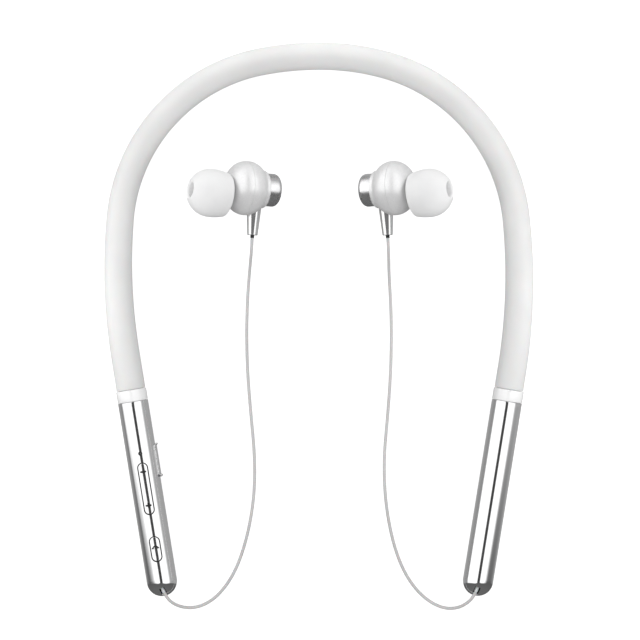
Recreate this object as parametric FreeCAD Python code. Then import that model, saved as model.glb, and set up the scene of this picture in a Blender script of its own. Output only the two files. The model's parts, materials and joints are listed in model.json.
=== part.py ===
import FreeCAD, Part
import math
import os

# Neckband earphones lying flat on a table: a round silicone neckband with a metal-look
# barrel on each end, and two earbuds on thin cords inside the U.
# Millimetres. +Z up, +X to the right arm, +Y to the back of the neck. Table at z = 0.
os.makedirs("parts", exist_ok=True)
V = FreeCAD.Vector
UP = V(0, 0, 1)
UP_IN_ARM = V(0, 1, 0)

# ---------------------------------------------------------------- driving dimensions
# neckband: each side leaves the apex tangent to X and is (radius, degrees) arcs, then a straight
APEX_Y = 81.6
BAND_R_BACK = 4.25
BAND_R_FRONT = 4.5
BAND_BORE_R = 2.0
BAND_SIDES = {
    "left": {"sign": -1, "arcs": [(96.5, 10.9), (54.1, 74.2), (172.0, 14.05)], "straight": 11.3},
    "right": {"sign": 1, "arcs": [(76.6, 15.7), (55.4, 68.4), (178.5, 15.05)], "straight": 6.2},
}
SPIGOT_R = 3.7
SPIGOT_LENGTH = 2.9
BAND_GAP = 0.1
WIRE_R = 0.6
WIRE_DROP = -0.9
WIRE_REACH = 2.5
HARNESS_R = 0.9
HARNESS_LIFT = 0.75
HARNESS_REACH = 9.2

# barrel on each arm, in the arm frame: x across, y up, z along the arm from the collar's edge
BARREL_R = 4.7
BARREL_WALL = 0.65
BARREL_START = 3.7
ARM_LENGTH = 64.7
DOME_S = ARM_LENGTH - BARREL_R
INNER_R = BARREL_R - BARREL_WALL
AXIS_Z = BARREL_R
COLLAR_LENGTH = 3.6
COLLAR_CHAMFER = 0.2
COLLAR_SPIGOT_END = 8.1
COLLAR_SPIGOT_R = INNER_R - 0.1
COLLAR_SPIGOT_WALL = 0.75
COLLAR_SOCKET_R = 3.8
COLLAR_SOCKET_DEPTH = 3.0
COLLAR_WIRE_HOLE_R = 2.2
COLLAR_PIP_R = 0.4
CUT_REACH = 1.0

# controls on the left barrel
ROCKER_S = 30.8
ROCKER_SIZE = (15.9, 2.9)
ROCKER_LOW = 2.7
ROCKER_FLANGE = (2.2, 2.8)
ROCKER_AXIS_UP = 2.3
ROCKER_PIN_R = 0.45
ROCKER_PIN_REACH = 2.8
ROCKER_POST_R = 0.55
ROCKER_POST_TOP = 2.55
ROCKER_SWITCH_OFFSET = 5.2
ROCKER_SWITCH_LAT = -1.0
ROCKER_SWITCH_SIZE = 2.4
LUG_NEAR = 2.35
LUG_FAR = 2.95
LUG_LOW = 1.5
LUG_TOP = 3.6
LUG_HALF = 0.8
LUG_BORE_R = 0.5
CALL_S = 49.65
CALL_SIZE = (7.6, 3.0)
CALL_LOW = 2.8
CALL_FLANGE = (2.3, 2.9)
CALL_POST_R = 0.7
CALL_POST_TOP = 2.5
CALL_SWITCH_SIZE = 3.0
KEY_GAP = 0.25
KEY_CUT = (3.0, 6.0)
KEY_FLANGE_EXTRA = 1.5
KEY_FLANGE_WIDTH = 4.2
POST_FOOT = 1.05
SIGN_DEPTH = 0.15
SIGN_FLOOR = BARREL_R - SIGN_DEPTH - 0.06
SIGN_LENGTH = 1.8
SIGN_LINE = 0.55
MINUS_S = ROCKER_S - 5.3
PLUS_S = ROCKER_S + 5.2
HANDSET_S = CALL_S - 0.1
HANDSET_R = 1.0
HANDSET_INNER_R = 0.6
HANDSET_CUP_R = 0.36
HANDSET_CUP_OUT = 0.82
SWITCH_HEIGHT = 1.5
PLUNGER_R = 0.6
PLUNGER_HEIGHT = 0.25
SWITCH_CAP_R = 0.8
SWITCH_CAP_GAP = 0.03
SWITCH_CAP_HEIGHT = 0.52

# indicator light
LED_S = 19.8
LED_HOLE_R = 0.65
LED_SIDE = (-1.4, -0.45)
LED_HALF = 0.4
LED_HEIGHT = 0.6
PIPE_R = 0.38
PIPE_SIDE = -1.5
PIPE_LEG = -0.35
PIPE_HALF = 0.45
PIPE_BEND = (1.8, 2.5)
PIPE_TOP = BARREL_R - 0.15

# charging port and its cover
PORT_S = 22.8
PORT_UP = -0.05
PORT_SHELL = (7.5, 2.5)
PORT_SHELL_REACH = (0.45, 4.3)
PORT_SHELL_WALL = 0.3
PORT_TONGUE = (0.8, 4.0)
PORT_TONGUE_RISE = (-0.1, 0.5)
PORT_TONGUE_HALF = 2.6
PORT_CUTOUT = (8.1, 3.1)
PORT_CUTOUT_ROUND = 0.7
COVER_LENGTH = 10.3
COVER_HEIGHT = 4.2
COVER_GAP = 0.05
COVER_THICK = 0.4
COVER_PLUG_TIP = 4.4
COVER_PLUG_ROOT = 0.2
COVER_LIP_HALF = 0.9
COVER_LIP_AHEAD = 0.25
COVER_LIP_BEHIND = 0.45
COVER_LIP_RISE = 0.4
COVER_LIP_ROUND = 0.2
COVER_HINGE_R = 0.38
COVER_HINGE_HALF = 1.6

# boards and parts on them
PCB_TOP = -1.3
PCB_THICK = 0.8
PCB_HALF = 3.2
PCB_ENDS = (9.8, 56.6)
MODULE_HALF = 2.5
MODULE_HEIGHT = 1.1
MODULE_ENDS = (39.9, 46.9)
MIC_S = 54.8
MIC_HOLE_R = 0.4
MIC_SIZE = (2.8, 2.2)
MIC_HEIGHT = 1.0

# battery in the right barrel
CELL_R = 3.6
CELL_START = 11.0
CELL_END = 51.0
PAD_GAP = 0.1
PAD_THICK = (1.2, 1.0)
PAD_HOLE_R = 1.1
PROTECTION_BOARD = (5.6, 0.7, 6.0)
PROTECTION_BOARD_GAP = 1.4

# earbud, in the bud frame: x towards the ear, y along the stem, z square to both
BALL_CENTRE = (22.94, 40.5, 8.75)
BUD_TILT = 26.0
BUD_ROLL = 3.5
BALL_R = 8.4
BALL_WAIST_R = 6.0
BALL_BACK = (7.2, 9.0)
BALL_FRONT = (6.3, 15.75)
BALL_WALL = 0.9
SEAM_X = 0.6
CAP_R = 5.1
CAP_BACK = -10.5
CAP_FRONT = -4.4
CAP_WALL = 0.6
CAP_ROUND = 1.4
CAP_FIT = 0.05
LIP_R = 5.8
LIP_BACK = -6.1
LIP_FRONT = -4.6
MAGNET_R = 4.0
MAGNET_THICK = 2.6
MAGNET_GAP = 0.1
DRIVER_R = 5.4
DRIVER_ENDS = (-0.6, 1.6)
DRIVER_REAR_R = 4.2
DRIVER_REAR = -2.8
FILM_R = 5.3
FILM_ENDS = (1.65, 1.8)
FILM_DOME_R = 6.0
FILM_DOME_X = -3.2
FILM_DOME_EDGE = 3.4
NOZZLE_TILT = 4.2
TIP_CENTRE = (11.72, 2.34)
NOZZLE_R = 2.35
NOZZLE_BORE_R = 1.75
NOZZLE_ROOT = -6.6
NOZZLE_END = 1.3
NOZZLE_GROOVE = (-1.6, -0.6)
NOZZLE_GROOVE_DEPTH = 0.2
MESH_SEAT = (0.45, 0.25)
TIP_R = 7.45
TIP_REAR = -5.15
TIP_REAR_R = 6.75
TIP_SKIN = 0.8
TIP_CORE_R = 3.15
TIP_CORE_REAR = -4.4
TIP_BORE_R = 2.42
TIP_HOLE_R = 2.2
TIP_MOUTH_BEVEL = 0.6
TIP_HOLLOW_DEPTH = 3.6
TIP_STOP = 0.25
STEM_X = -3.25
STEM_START = 5.9
STEM_TOP_R = 2.27
STEM_END_R = 1.6
STEM_END = 14.35
STEM_FIT = 0.08
GROMMET_R = 0.6
GROMMET_ROOT = 2.2
GROMMET_END = 15.2
GROMMET_FIT = 0.02

# cords: route points, from the barrel's sleeve to the bud's stem
CORD_R = 0.5
SLEEVE_BACK = 5.0
SLEEVE_R = 0.6
SLEEVE_FIT = 0.04
SLEEVE_FLANGE_R = 0.9
SLEEVE_FLANGE = 0.8
SLOT_R = 0.85
SLOT_BACK = 1.6
SLOT_AHEAD = 3.0
SLOT_TOP = 4.0
RUN_SHARE = 0.45
CORD_ROUTES = {
    "left": [
        (-48.17, -84.37, 6.95),
        (-47.30, -86.25, 6.75),
        (-45.20, -88.20, 5.50),
        (-42.30, -89.45, 3.60),
        (-38.90, -89.70, 1.80),
        (-35.40, -88.60, 0.75),
        (-32.00, -86.20, 0.50),
        (-28.80, -82.40, 0.50),
        (-26.00, -77.50, 0.50),
        (-23.60, -70.90, 0.50),
        (-21.60, -62.60, 0.50),
        (-20.35, -53.00, 0.50),
        (-20.35, -42.00, 0.50),
        (-21.50, -30.00, 0.50),
        (-22.60, -16.50, 0.50),
        (-22.90, -4.50, 0.50),
        (-22.65, 5.00, 0.50),
        (-22.25, 11.00, 1.10),
        (-21.85, 15.20, 3.00),
        (-21.45, 18.70, 5.60),
        (-21.147, 21.956, 7.325),
        (-20.952, 25.150, 7.325),
    ],
    "right": [
        (48.15, -84.10, 6.95),
        (47.35, -86.00, 6.75),
        (45.35, -88.10, 5.50),
        (42.50, -89.65, 3.60),
        (39.10, -89.95, 1.80),
        (35.50, -88.75, 0.75),
        (31.90, -86.20, 0.50),
        (28.60, -82.50, 0.50),
        (25.70, -77.60, 0.50),
        (23.20, -71.00, 0.50),
        (21.30, -62.80, 0.50),
        (20.10, -53.20, 0.50),
        (19.95, -42.30, 0.50),
        (21.00, -31.00, 0.50),
        (22.00, -17.50, 0.50),
        (22.30, -5.00, 0.50),
        (22.05, 5.00, 0.50),
        (21.65, 11.20, 1.10),
        (21.40, 15.30, 3.00),
        (21.30, 18.80, 5.60),
        (21.147, 21.956, 7.325),
        (20.952, 25.150, 7.325),
    ],
}


# ---------------------------------------------------------------- small helpers
def cylinder(radius, start, end):
    """A cylinder between two points."""
    axis = end - start
    return Part.makeCylinder(radius, axis.Length, start, axis)


def block(low, high):
    """A box between two opposite corners."""
    size = V(*high) - V(*low)
    return Part.makeBox(size.x, size.y, size.z, V(*low))


def joined(shapes):
    """Several overlapping or touching shapes as one solid."""
    whole = shapes[0].fuse(shapes[1:])
    return whole.removeSplitter()


def turned(points, centre, axis):
    """A closed outline turned a full circle about an axis."""
    outline = Part.makePolygon(points + [points[0]])
    return Part.Face(outline).revolve(centre, axis, 360)


def stadium(length, width, low, high, along, across=0.0):
    """In the arm frame: a prism with round ends, long along the arm, between two heights."""
    half = width / 2
    reach = length / 2 - half
    left = across - half
    right = across + half
    edges = [
        Part.LineSegment(V(left, low, along - reach), V(left, low, along + reach)).toShape(),
        Part.Arc(
            V(left, low, along + reach),
            V(across, low, along + reach + half),
            V(right, low, along + reach),
        ).toShape(),
        Part.LineSegment(V(right, low, along + reach), V(right, low, along - reach)).toShape(),
        Part.Arc(
            V(right, low, along - reach),
            V(across, low, along - reach - half),
            V(left, low, along - reach),
        ).toShape(),
    ]
    return Part.Face(Part.Wire(edges)).extrude(V(0, high - low, 0))


def save(shape, name):
    """Write one node, after checking that it holds only sound closed solids."""
    sound = bool(shape.Solids) and shape.isValid() and all(s.isClosed() for s in shape.Solids)
    shape.exportStep(f"parts/{name}.step")
    box = shape.optimalBoundingBox(False, False)
    print(f"{name:26s} {len(shape.Solids)} solid(s) {shape.Volume:9.2f} mm3 {'' if sound else 'NOT SOUND'}"
          f" z {box.ZMin:.2f}..{box.ZMax:.2f}")


# ---------------------------------------------------------------- neckband centreline
def on_arc(centre, radius, heading, sign):
    """The point of a band arc where the path runs at this heading, in degrees from X."""
    turn = math.radians(heading)
    return V(sign * (centre[0] + radius * math.sin(turn)), centre[1] + radius * math.cos(turn), AXIS_Z)


def heading_vector(heading, sign):
    turn = math.radians(heading)
    return V(sign * math.cos(turn), -math.sin(turn), 0)


def band_arcs(side):
    """Each arc of one side as (centre in X and Y before mirroring, radius, start, end heading)."""
    x, y, heading = 0.0, APEX_Y, 0.0
    arcs = []
    for radius, degrees in side["arcs"]:
        turn = math.radians(heading)
        centre = (x - radius * math.sin(turn), y - radius * math.cos(turn))
        arcs.append((centre, radius, heading, heading + degrees))
        heading += degrees
        turn = math.radians(heading)
        x = centre[0] + radius * math.sin(turn)
        y = centre[1] + radius * math.cos(turn)
    return arcs


def collar_edge(side):
    """Where the arm's own frame starts, and the arm's direction."""
    centre, radius, _, heading = band_arcs(side)[-1]
    direction = heading_vector(heading, side["sign"])
    return on_arc(centre, radius, heading, side["sign"]) + direction * side["straight"], direction


def arc_rod(arc, radius, lift, sign):
    """A round rod that follows one arc at a height above the centreline."""
    centre, path_radius, start, end = arc
    point = on_arc(centre, path_radius, start, sign) + UP * lift
    ring = Part.makeCircle(radius, point, heading_vector(start, sign))
    pivot = V(sign * centre[0], centre[1], 0)
    return Part.Face(Part.Wire(ring)).revolve(pivot, UP, -sign * (end - start))


def band_rod(radius, lift, reach):
    """A round rod along the whole band, running on past each collar's edge by reach."""
    pieces = []
    for side in BAND_SIDES.values():
        arcs = band_arcs(side)
        pieces += [arc_rod(arc, radius, lift, side["sign"]) for arc in arcs]
        edge, direction = collar_edge(side)
        start = edge - direction * side["straight"] + UP * lift
        pieces.append(cylinder(radius, start, edge + direction * reach + UP * lift))
    return joined(pieces)


def band_skin():
    """The band's outer form: even round the neck, growing a little towards the collars."""
    pieces = []
    for side in BAND_SIDES.values():
        sign = side["sign"]
        arcs = band_arcs(side)
        pieces += [arc_rod(arc, BAND_R_BACK, 0, sign) for arc in arcs[:-1]]
        centre, path_radius, start, end = arcs[-1]
        stations = [start, (start + end) / 2, end]
        path = Part.Arc(*[on_arc(centre, path_radius, heading, sign) for heading in stations])
        rings = []
        for heading, radius in ((start, BAND_R_BACK), (end, BAND_R_FRONT)):
            point = on_arc(centre, path_radius, heading, sign)
            rings.append(Part.Wire(Part.makeCircle(radius, point, heading_vector(heading, sign))))
        pieces.append(Part.Wire(path.toShape()).makePipeShell(rings, True, True))
        edge, direction = collar_edge(side)
        straight_start = edge - direction * side["straight"]
        pieces.append(cylinder(BAND_R_FRONT, straight_start, edge - direction * BAND_GAP))
        pieces.append(cylinder(SPIGOT_R, straight_start, edge + direction * SPIGOT_LENGTH))
    return joined(pieces)


def build_band():
    bore = band_rod(BAND_BORE_R, 0, SPIGOT_LENGTH + 1)
    save(band_skin().cut(bore), "silicone_band")
    save(band_rod(WIRE_R, WIRE_DROP, WIRE_REACH), "memory_wire")
    save(band_rod(HARNESS_R, HARNESS_LIFT, HARNESS_REACH), "harness_cable")


# ---------------------------------------------------------------- arm parts, in the arm frame
def to_arm(shape, name):
    """Move a shape from the arm frame to its place on the left or the right arm."""
    edge, direction = collar_edge(BAND_SIDES[name])
    placed = shape.copy()
    placed.rotate(V(0, 0, 0), V(1, 0, 0), 90)
    placed.rotate(V(0, 0, 0), UP, math.degrees(math.atan2(direction.x, -direction.y)))
    placed.translate(edge)
    return placed


def to_arm_frame(point, name):
    """A point of the whole object, seen in the arm frame."""
    edge, direction = collar_edge(BAND_SIDES[name])
    across = V(-direction.y, direction.x, 0)
    offset = point - edge
    return V(offset.dot(across), offset.z, offset.dot(direction))


def collar():
    outer = BARREL_R
    inner = COLLAR_SPIGOT_R - COLLAR_SPIGOT_WALL
    points = [
        V(COLLAR_SOCKET_R, 0, 0),
        V(outer - COLLAR_CHAMFER, 0, 0),
        V(outer, 0, COLLAR_CHAMFER),
        V(outer, 0, COLLAR_LENGTH - COLLAR_CHAMFER / 2),
        V(outer - COLLAR_CHAMFER / 2, 0, COLLAR_LENGTH),
        V(COLLAR_SPIGOT_R, 0, COLLAR_LENGTH),
        V(COLLAR_SPIGOT_R, 0, COLLAR_SPIGOT_END),
        V(inner, 0, COLLAR_SPIGOT_END),
        V(inner, 0, COLLAR_LENGTH),
        V(COLLAR_WIRE_HOLE_R, 0, COLLAR_LENGTH),
        V(COLLAR_WIRE_HOLE_R, 0, COLLAR_SOCKET_DEPTH),
        V(COLLAR_SOCKET_R, 0, COLLAR_SOCKET_DEPTH),
    ]
    ring = turned(points, V(0, 0, 0), UP)
    return ring.cut(Part.makeSphere(COLLAR_PIP_R, V(0, outer, COLLAR_CHAMFER)))


def capsule(radius):
    """The barrel's form at one radius: a round tube closed by a half-round dome."""
    tube = cylinder(radius, V(0, 0, BARREL_START), V(0, 0, DOME_S))
    return joined([tube, Part.makeSphere(radius, V(0, 0, DOME_S))])


def cord_slot(name):
    """The open slot in the dome that the cord's sleeve leaves through."""
    start = to_arm_frame(V(*CORD_ROUTES[name][0]), name)
    ahead = to_arm_frame(V(*CORD_ROUTES[name][1]), name) - start
    ahead.normalize()
    back = start - ahead * SLOT_BACK
    front = start + ahead * SLOT_AHEAD
    groove = cylinder(SLOT_R, back, front)
    flat = V(ahead.x, 0, ahead.z)
    flat.normalize()
    side = V(flat.z, 0, -flat.x) * SLOT_R
    corners = [back + side, back - side, front - side, front + side]
    floor = Part.Face(Part.makePolygon(corners + [corners[0]]))
    return joined([groove, floor.extrude(V(0, SLOT_TOP, 0))])


def barrel_shells(name):
    """The barrel in two shells that meet at mid height, before any cut-outs."""
    whole = capsule(BARREL_R).cut(capsule(INNER_R)).cut(cord_slot(name))
    reach = BARREL_R + CUT_REACH
    end = ARM_LENGTH + CUT_REACH
    front_half = block((-reach, 0, 0), (reach, reach, end))
    back_half = block((-reach, -reach, 0), (reach, 0, end))
    return whole.common(front_half), whole.common(back_half)


def rocker_lugs():
    """Two bearing lugs under the front shell, either side of the rocker."""
    lugs = [
        block((-LUG_FAR, LUG_LOW, ROCKER_S - LUG_HALF), (-LUG_NEAR, LUG_TOP, ROCKER_S + LUG_HALF)),
        block((LUG_NEAR, LUG_LOW, ROCKER_S - LUG_HALF), (LUG_FAR, LUG_TOP, ROCKER_S + LUG_HALF)),
    ]
    end = V(LUG_FAR, ROCKER_AXIS_UP, ROCKER_S)
    bore = cylinder(LUG_BORE_R, V(-end.x, end.y, end.z), end)
    return [lug.cut(bore) for lug in lugs]


def port_cutout():
    width, height = PORT_CUTOUT
    low, high = KEY_CUT
    opening = Part.makeBox(high - low, height, width, V(low, PORT_UP - height / 2, PORT_S - width / 2))
    lengthwise = [e for e in opening.Edges if abs(e.tangentAt(e.FirstParameter).x) > 0.9]
    return opening.makeFillet(PORT_CUTOUT_ROUND, lengthwise)


def left_front_shell(shell):
    low, high = KEY_CUT
    room = 2 * KEY_GAP
    cuts = [
        stadium(ROCKER_SIZE[0] + room, ROCKER_SIZE[1] + room, low, high, ROCKER_S),
        stadium(CALL_SIZE[0] + room, CALL_SIZE[1] + room, low, high, CALL_S),
        cylinder(LED_HOLE_R, V(0, low, LED_S), V(0, high, LED_S)),
        port_cutout(),
    ]
    return joined([shell.cut(cuts)] + rocker_lugs())


def left_back_shell(shell):
    low, high = KEY_CUT
    mic_hole = cylinder(MIC_HOLE_R, V(0, -low, MIC_S), V(0, -high, MIC_S))
    return shell.cut([port_cutout(), mic_hole])


def strain_relief(name):
    """White sleeve round the cord, with a flange that keeps it in the barrel."""
    start = V(*CORD_ROUTES[name][0])
    ahead = V(*CORD_ROUTES[name][1]) - start
    ahead.normalize()
    back = start - ahead * SLEEVE_BACK
    taper = Part.makeCone(SLEEVE_R, CORD_R + SLEEVE_FIT, SLEEVE_BACK, back, ahead)
    flange = cylinder(SLEEVE_FLANGE_R, back, back + ahead * SLEEVE_FLANGE)
    return joined([taper, flange])


def sign_bar(along, long_way, across_way):
    """A straight groove of a plus or minus sign, cut into a key's face."""
    low = (-across_way / 2, SIGN_FLOOR, along - long_way / 2)
    return block(low, (across_way / 2, BARREL_R + CUT_REACH, along + long_way / 2))


def key_face(size, along, low):
    """A key's cap, flush with the barrel's round surface."""
    cap = stadium(size[0], size[1], low, BARREL_R + CUT_REACH, along)
    return cap.common(cylinder(BARREL_R, V(0, 0, 0), V(0, 0, ARM_LENGTH)))


def key_flange(size, along, heights):
    """The wider foot that keeps a key from leaving through the barrel's cut-out."""
    return stadium(size[0] + KEY_FLANGE_EXTRA, KEY_FLANGE_WIDTH, heights[0], heights[1], along)


def volume_rocker():
    cap = key_face(ROCKER_SIZE, ROCKER_S, ROCKER_LOW)
    flange = key_flange(ROCKER_SIZE, ROCKER_S, ROCKER_FLANGE)
    pin_end = V(ROCKER_PIN_REACH, ROCKER_AXIS_UP, ROCKER_S)
    pin = cylinder(ROCKER_PIN_R, V(-pin_end.x, pin_end.y, pin_end.z), pin_end)
    posts = []
    for side in (-1, 1):
        along = ROCKER_S + side * ROCKER_SWITCH_OFFSET
        foot = V(ROCKER_SWITCH_LAT, POST_FOOT, along)
        posts.append(cylinder(ROCKER_POST_R, foot, V(ROCKER_SWITCH_LAT, ROCKER_POST_TOP, along)))
    signs = [
        sign_bar(MINUS_S, SIGN_LINE, SIGN_LENGTH),
        sign_bar(PLUS_S, SIGN_LINE, SIGN_LENGTH),
        sign_bar(PLUS_S, SIGN_LENGTH, SIGN_LINE),
    ]
    return joined([cap, flange, pin] + posts).cut(signs)


def handset_sign():
    """A plain telephone handset: a bowed grip with a round cup at each end."""
    centre = V(0, SIGN_FLOOR, HANDSET_S)
    grip = cylinder(HANDSET_R, centre, centre + UP_IN_ARM)
    grip = grip.cut(cylinder(HANDSET_INNER_R, centre, centre + UP_IN_ARM))
    reach = HANDSET_R + CUT_REACH
    lower_half = block((-reach, SIGN_FLOOR, HANDSET_S - reach), (reach, SIGN_FLOOR + 1, HANDSET_S))
    grip = grip.common(lower_half)
    cups = []
    for side in (-1, 1):
        foot = V(side * HANDSET_CUP_OUT, SIGN_FLOOR, HANDSET_S)
        cups.append(cylinder(HANDSET_CUP_R, foot, foot + UP_IN_ARM))
    return joined([grip] + cups)


def call_button():
    cap = key_face(CALL_SIZE, CALL_S, CALL_LOW)
    flange = key_flange(CALL_SIZE, CALL_S, CALL_FLANGE)
    post = cylinder(CALL_POST_R, V(0, POST_FOOT, CALL_S), V(0, CALL_POST_TOP, CALL_S))
    return joined([cap, flange, post]).cut(handset_sign())


def switch(across, along, width):
    """A tactile switch soldered on the board, with its round plunger."""
    half = width / 2
    top = PCB_TOP + SWITCH_HEIGHT
    case = block((across - half, PCB_TOP, along - half), (across + half, top, along + half))
    foot = V(across, top, along)
    return joined([case, cylinder(PLUNGER_R, foot, foot + UP_IN_ARM * PLUNGER_HEIGHT)])


def switch_cap(across, along):
    """A soft rubber pad between a switch and its key."""
    foot = V(across, PCB_TOP + SWITCH_HEIGHT + PLUNGER_HEIGHT + SWITCH_CAP_GAP, along)
    return cylinder(SWITCH_CAP_R, foot, foot + UP_IN_ARM * SWITCH_CAP_HEIGHT)


def port_shell():
    width, height = PORT_SHELL
    near, far = PORT_SHELL_REACH
    wall = PORT_SHELL_WALL
    low = V(near, PORT_UP - height / 2, PORT_S - width / 2)
    outside = Part.makeBox(far - near, height, width, low)
    hollow = Part.makeBox(far, height - 2 * wall, width - 2 * wall, low + V(wall, wall, wall))
    return outside.cut(hollow)


def port_tongue():
    near, far = PORT_TONGUE
    low, high = PORT_TONGUE_RISE
    half = PORT_TONGUE_HALF
    return block((near, PORT_UP + low, PORT_S - half), (far, PORT_UP + high, PORT_S + half))


def port_cover():
    """Soft cover over the charging port: plate, plug, finger lip and rounded hinge end."""
    start = PORT_S - COVER_LENGTH / 2
    end = PORT_S + COVER_LENGTH / 2
    inside = BARREL_R + COVER_GAP
    outside = inside + COVER_THICK
    ring = cylinder(outside, V(0, 0, start), V(0, 0, end - COVER_HINGE_R))
    ring = ring.cut(cylinder(inside, V(0, 0, 0), V(0, 0, ARM_LENGTH)))
    half = COVER_HEIGHT / 2
    plate = ring.common(block((0, PORT_UP - half, start), (outside + 1, PORT_UP + half, end)))
    width, height = PORT_SHELL
    plug_low = (COVER_PLUG_TIP, PORT_UP - height / 2, PORT_S - width / 2)
    plug = block(plug_low, (inside + COVER_PLUG_ROOT, PORT_UP + height / 2, PORT_S + width / 2))
    lip_low = (inside, PORT_UP - COVER_LIP_HALF, start - COVER_LIP_AHEAD)
    lip = block(lip_low, (outside + COVER_LIP_RISE, PORT_UP + COVER_LIP_HALF, start + COVER_LIP_BEHIND))
    long_edges = [e for e in lip.Edges if e.Length > 2 * COVER_LIP_HALF - 0.1]
    lip = lip.makeFillet(COVER_LIP_ROUND, long_edges)
    hinge = V(inside + COVER_HINGE_R, PORT_UP - COVER_HINGE_HALF, end - COVER_HINGE_R)
    knuckle = cylinder(COVER_HINGE_R, hinge, hinge + UP_IN_ARM * (2 * COVER_HINGE_HALF))
    return joined([plate, plug, lip, knuckle])


def light_pipe():
    """Clear guide from the window in the barrel down to the indicator light on the board."""
    bend_low, bend_top = PIPE_BEND
    start = LED_S - PIPE_HALF
    end = LED_S + PIPE_HALF
    top = cylinder(PIPE_R, V(0, (bend_low + bend_top) / 2, LED_S), V(0, PIPE_TOP, LED_S))
    bend = block((PIPE_SIDE, bend_low, start), (PIPE_R, bend_top, end))
    leg_low = PCB_TOP + LED_HEIGHT + 0.05
    leg = block((PIPE_SIDE, leg_low, start), (PIPE_LEG, bend_top, end))
    return joined([top, bend, leg])


def build_left_arm():
    front, back = barrel_shells("left")
    board_low = PCB_TOP - PCB_THICK
    mic_low = (-MIC_SIZE[0] / 2, board_low - MIC_HEIGHT, MIC_S - MIC_SIZE[1] / 2)
    mic_high = (MIC_SIZE[0] / 2, board_low, MIC_S + MIC_SIZE[1] / 2)
    led_low = (LED_SIDE[0], PCB_TOP, LED_S - LED_HALF)
    led_high = (LED_SIDE[1], PCB_TOP + LED_HEIGHT, LED_S + LED_HALF)
    module_low = (-MODULE_HALF, PCB_TOP, MODULE_ENDS[0])
    module_high = (MODULE_HALF, PCB_TOP + MODULE_HEIGHT, MODULE_ENDS[1])
    parts = {
        "left_collar": collar(),
        "left_barrel_front": left_front_shell(front),
        "left_barrel_back": left_back_shell(back),
        "main_pcb": block((-PCB_HALF, board_low, PCB_ENDS[0]), (PCB_HALF, PCB_TOP, PCB_ENDS[1])),
        "bluetooth_module": block(module_low, module_high),
        "status_led": block(led_low, led_high),
        "led_light_pipe": light_pipe(),
        "call_switch": switch(0, CALL_S, CALL_SWITCH_SIZE),
        "call_switch_cap": switch_cap(0, CALL_S),
        "microphone": block(mic_low, mic_high),
        "usb_port_shell": port_shell(),
        "usb_port_tongue": port_tongue(),
        "charging_port_cover": port_cover(),
        "volume_rocker": volume_rocker(),
        "call_button": call_button(),
    }
    ends = [ROCKER_S - ROCKER_SWITCH_OFFSET, ROCKER_S + ROCKER_SWITCH_OFFSET]
    switches = [switch(ROCKER_SWITCH_LAT, s, ROCKER_SWITCH_SIZE) for s in ends]
    parts["volume_switches"] = Part.makeCompound(switches)
    parts["volume_switch_caps"] = Part.makeCompound([switch_cap(ROCKER_SWITCH_LAT, s) for s in ends])
    for name, shape in parts.items():
        save(to_arm(shape, "left"), name)
    save(strain_relief("left"), "left_strain_relief")


def build_right_arm():
    front, back = barrel_shells("right")
    near_pad = CELL_START - PAD_GAP
    far_pad = CELL_END + PAD_GAP
    pads = [
        cylinder(CELL_R, V(0, 0, near_pad - PAD_THICK[0]), V(0, 0, near_pad)),
        cylinder(CELL_R, V(0, 0, far_pad), V(0, 0, far_pad + PAD_THICK[1])),
    ]
    hole = cylinder(PAD_HOLE_R, V(0, 0, 0), V(0, 0, ARM_LENGTH))
    width, thick, length = PROTECTION_BOARD
    board = Part.makeBox(width, thick, length, V(-width / 2, -thick / 2, CELL_END + PROTECTION_BOARD_GAP))
    parts = {
        "right_collar": collar(),
        "right_barrel_front": front,
        "right_barrel_back": back,
        "battery_cell": cylinder(CELL_R, V(0, 0, CELL_START), V(0, 0, CELL_END)),
        "battery_foam_pads": Part.makeCompound([pad.cut(hole) for pad in pads]),
        "battery_protection_board": board,
    }
    for name, shape in parts.items():
        save(to_arm(shape, "right"), name)
    save(strain_relief("right"), "right_strain_relief")


# ---------------------------------------------------------------- earbuds, in the bud frame
def bud_axes(sign):
    """The bud frame's three directions: towards the ear, along the stem, and square to both."""
    tilt = math.radians(BUD_TILT)
    roll = math.radians(BUD_ROLL)
    ear = V(sign * math.cos(tilt) * math.cos(roll), math.cos(tilt) * math.sin(roll), math.sin(tilt))
    stem = V(sign * math.sin(roll), -math.cos(roll), 0)
    return ear, stem, ear.cross(stem)


def to_bud(shape, sign):
    ear, stem, square = bud_axes(sign)
    x, y, z = BALL_CENTRE
    matrix = FreeCAD.Matrix(
        ear.x, stem.x, square.x, sign * x,
        ear.y, stem.y, square.y, y,
        ear.z, stem.z, square.z, z,
        0, 0, 0, 1,
    )
    placed = shape.copy()
    placed.Placement = FreeCAD.Placement(matrix).multiply(placed.Placement)
    return placed


def nozzle_point(along, out=0.0):
    """A point on the nozzle's axis, or square to it, from the eartip's centre."""
    turn = math.radians(NOZZLE_TILT)
    x = TIP_CENTRE[0] + along * math.cos(turn) + out * math.sin(turn)
    y = TIP_CENTRE[1] - along * math.sin(turn) + out * math.cos(turn)
    return V(x, y, 0)


def nozzle_rod(radius, start, end):
    return cylinder(radius, nozzle_point(start), nozzle_point(end))


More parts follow.
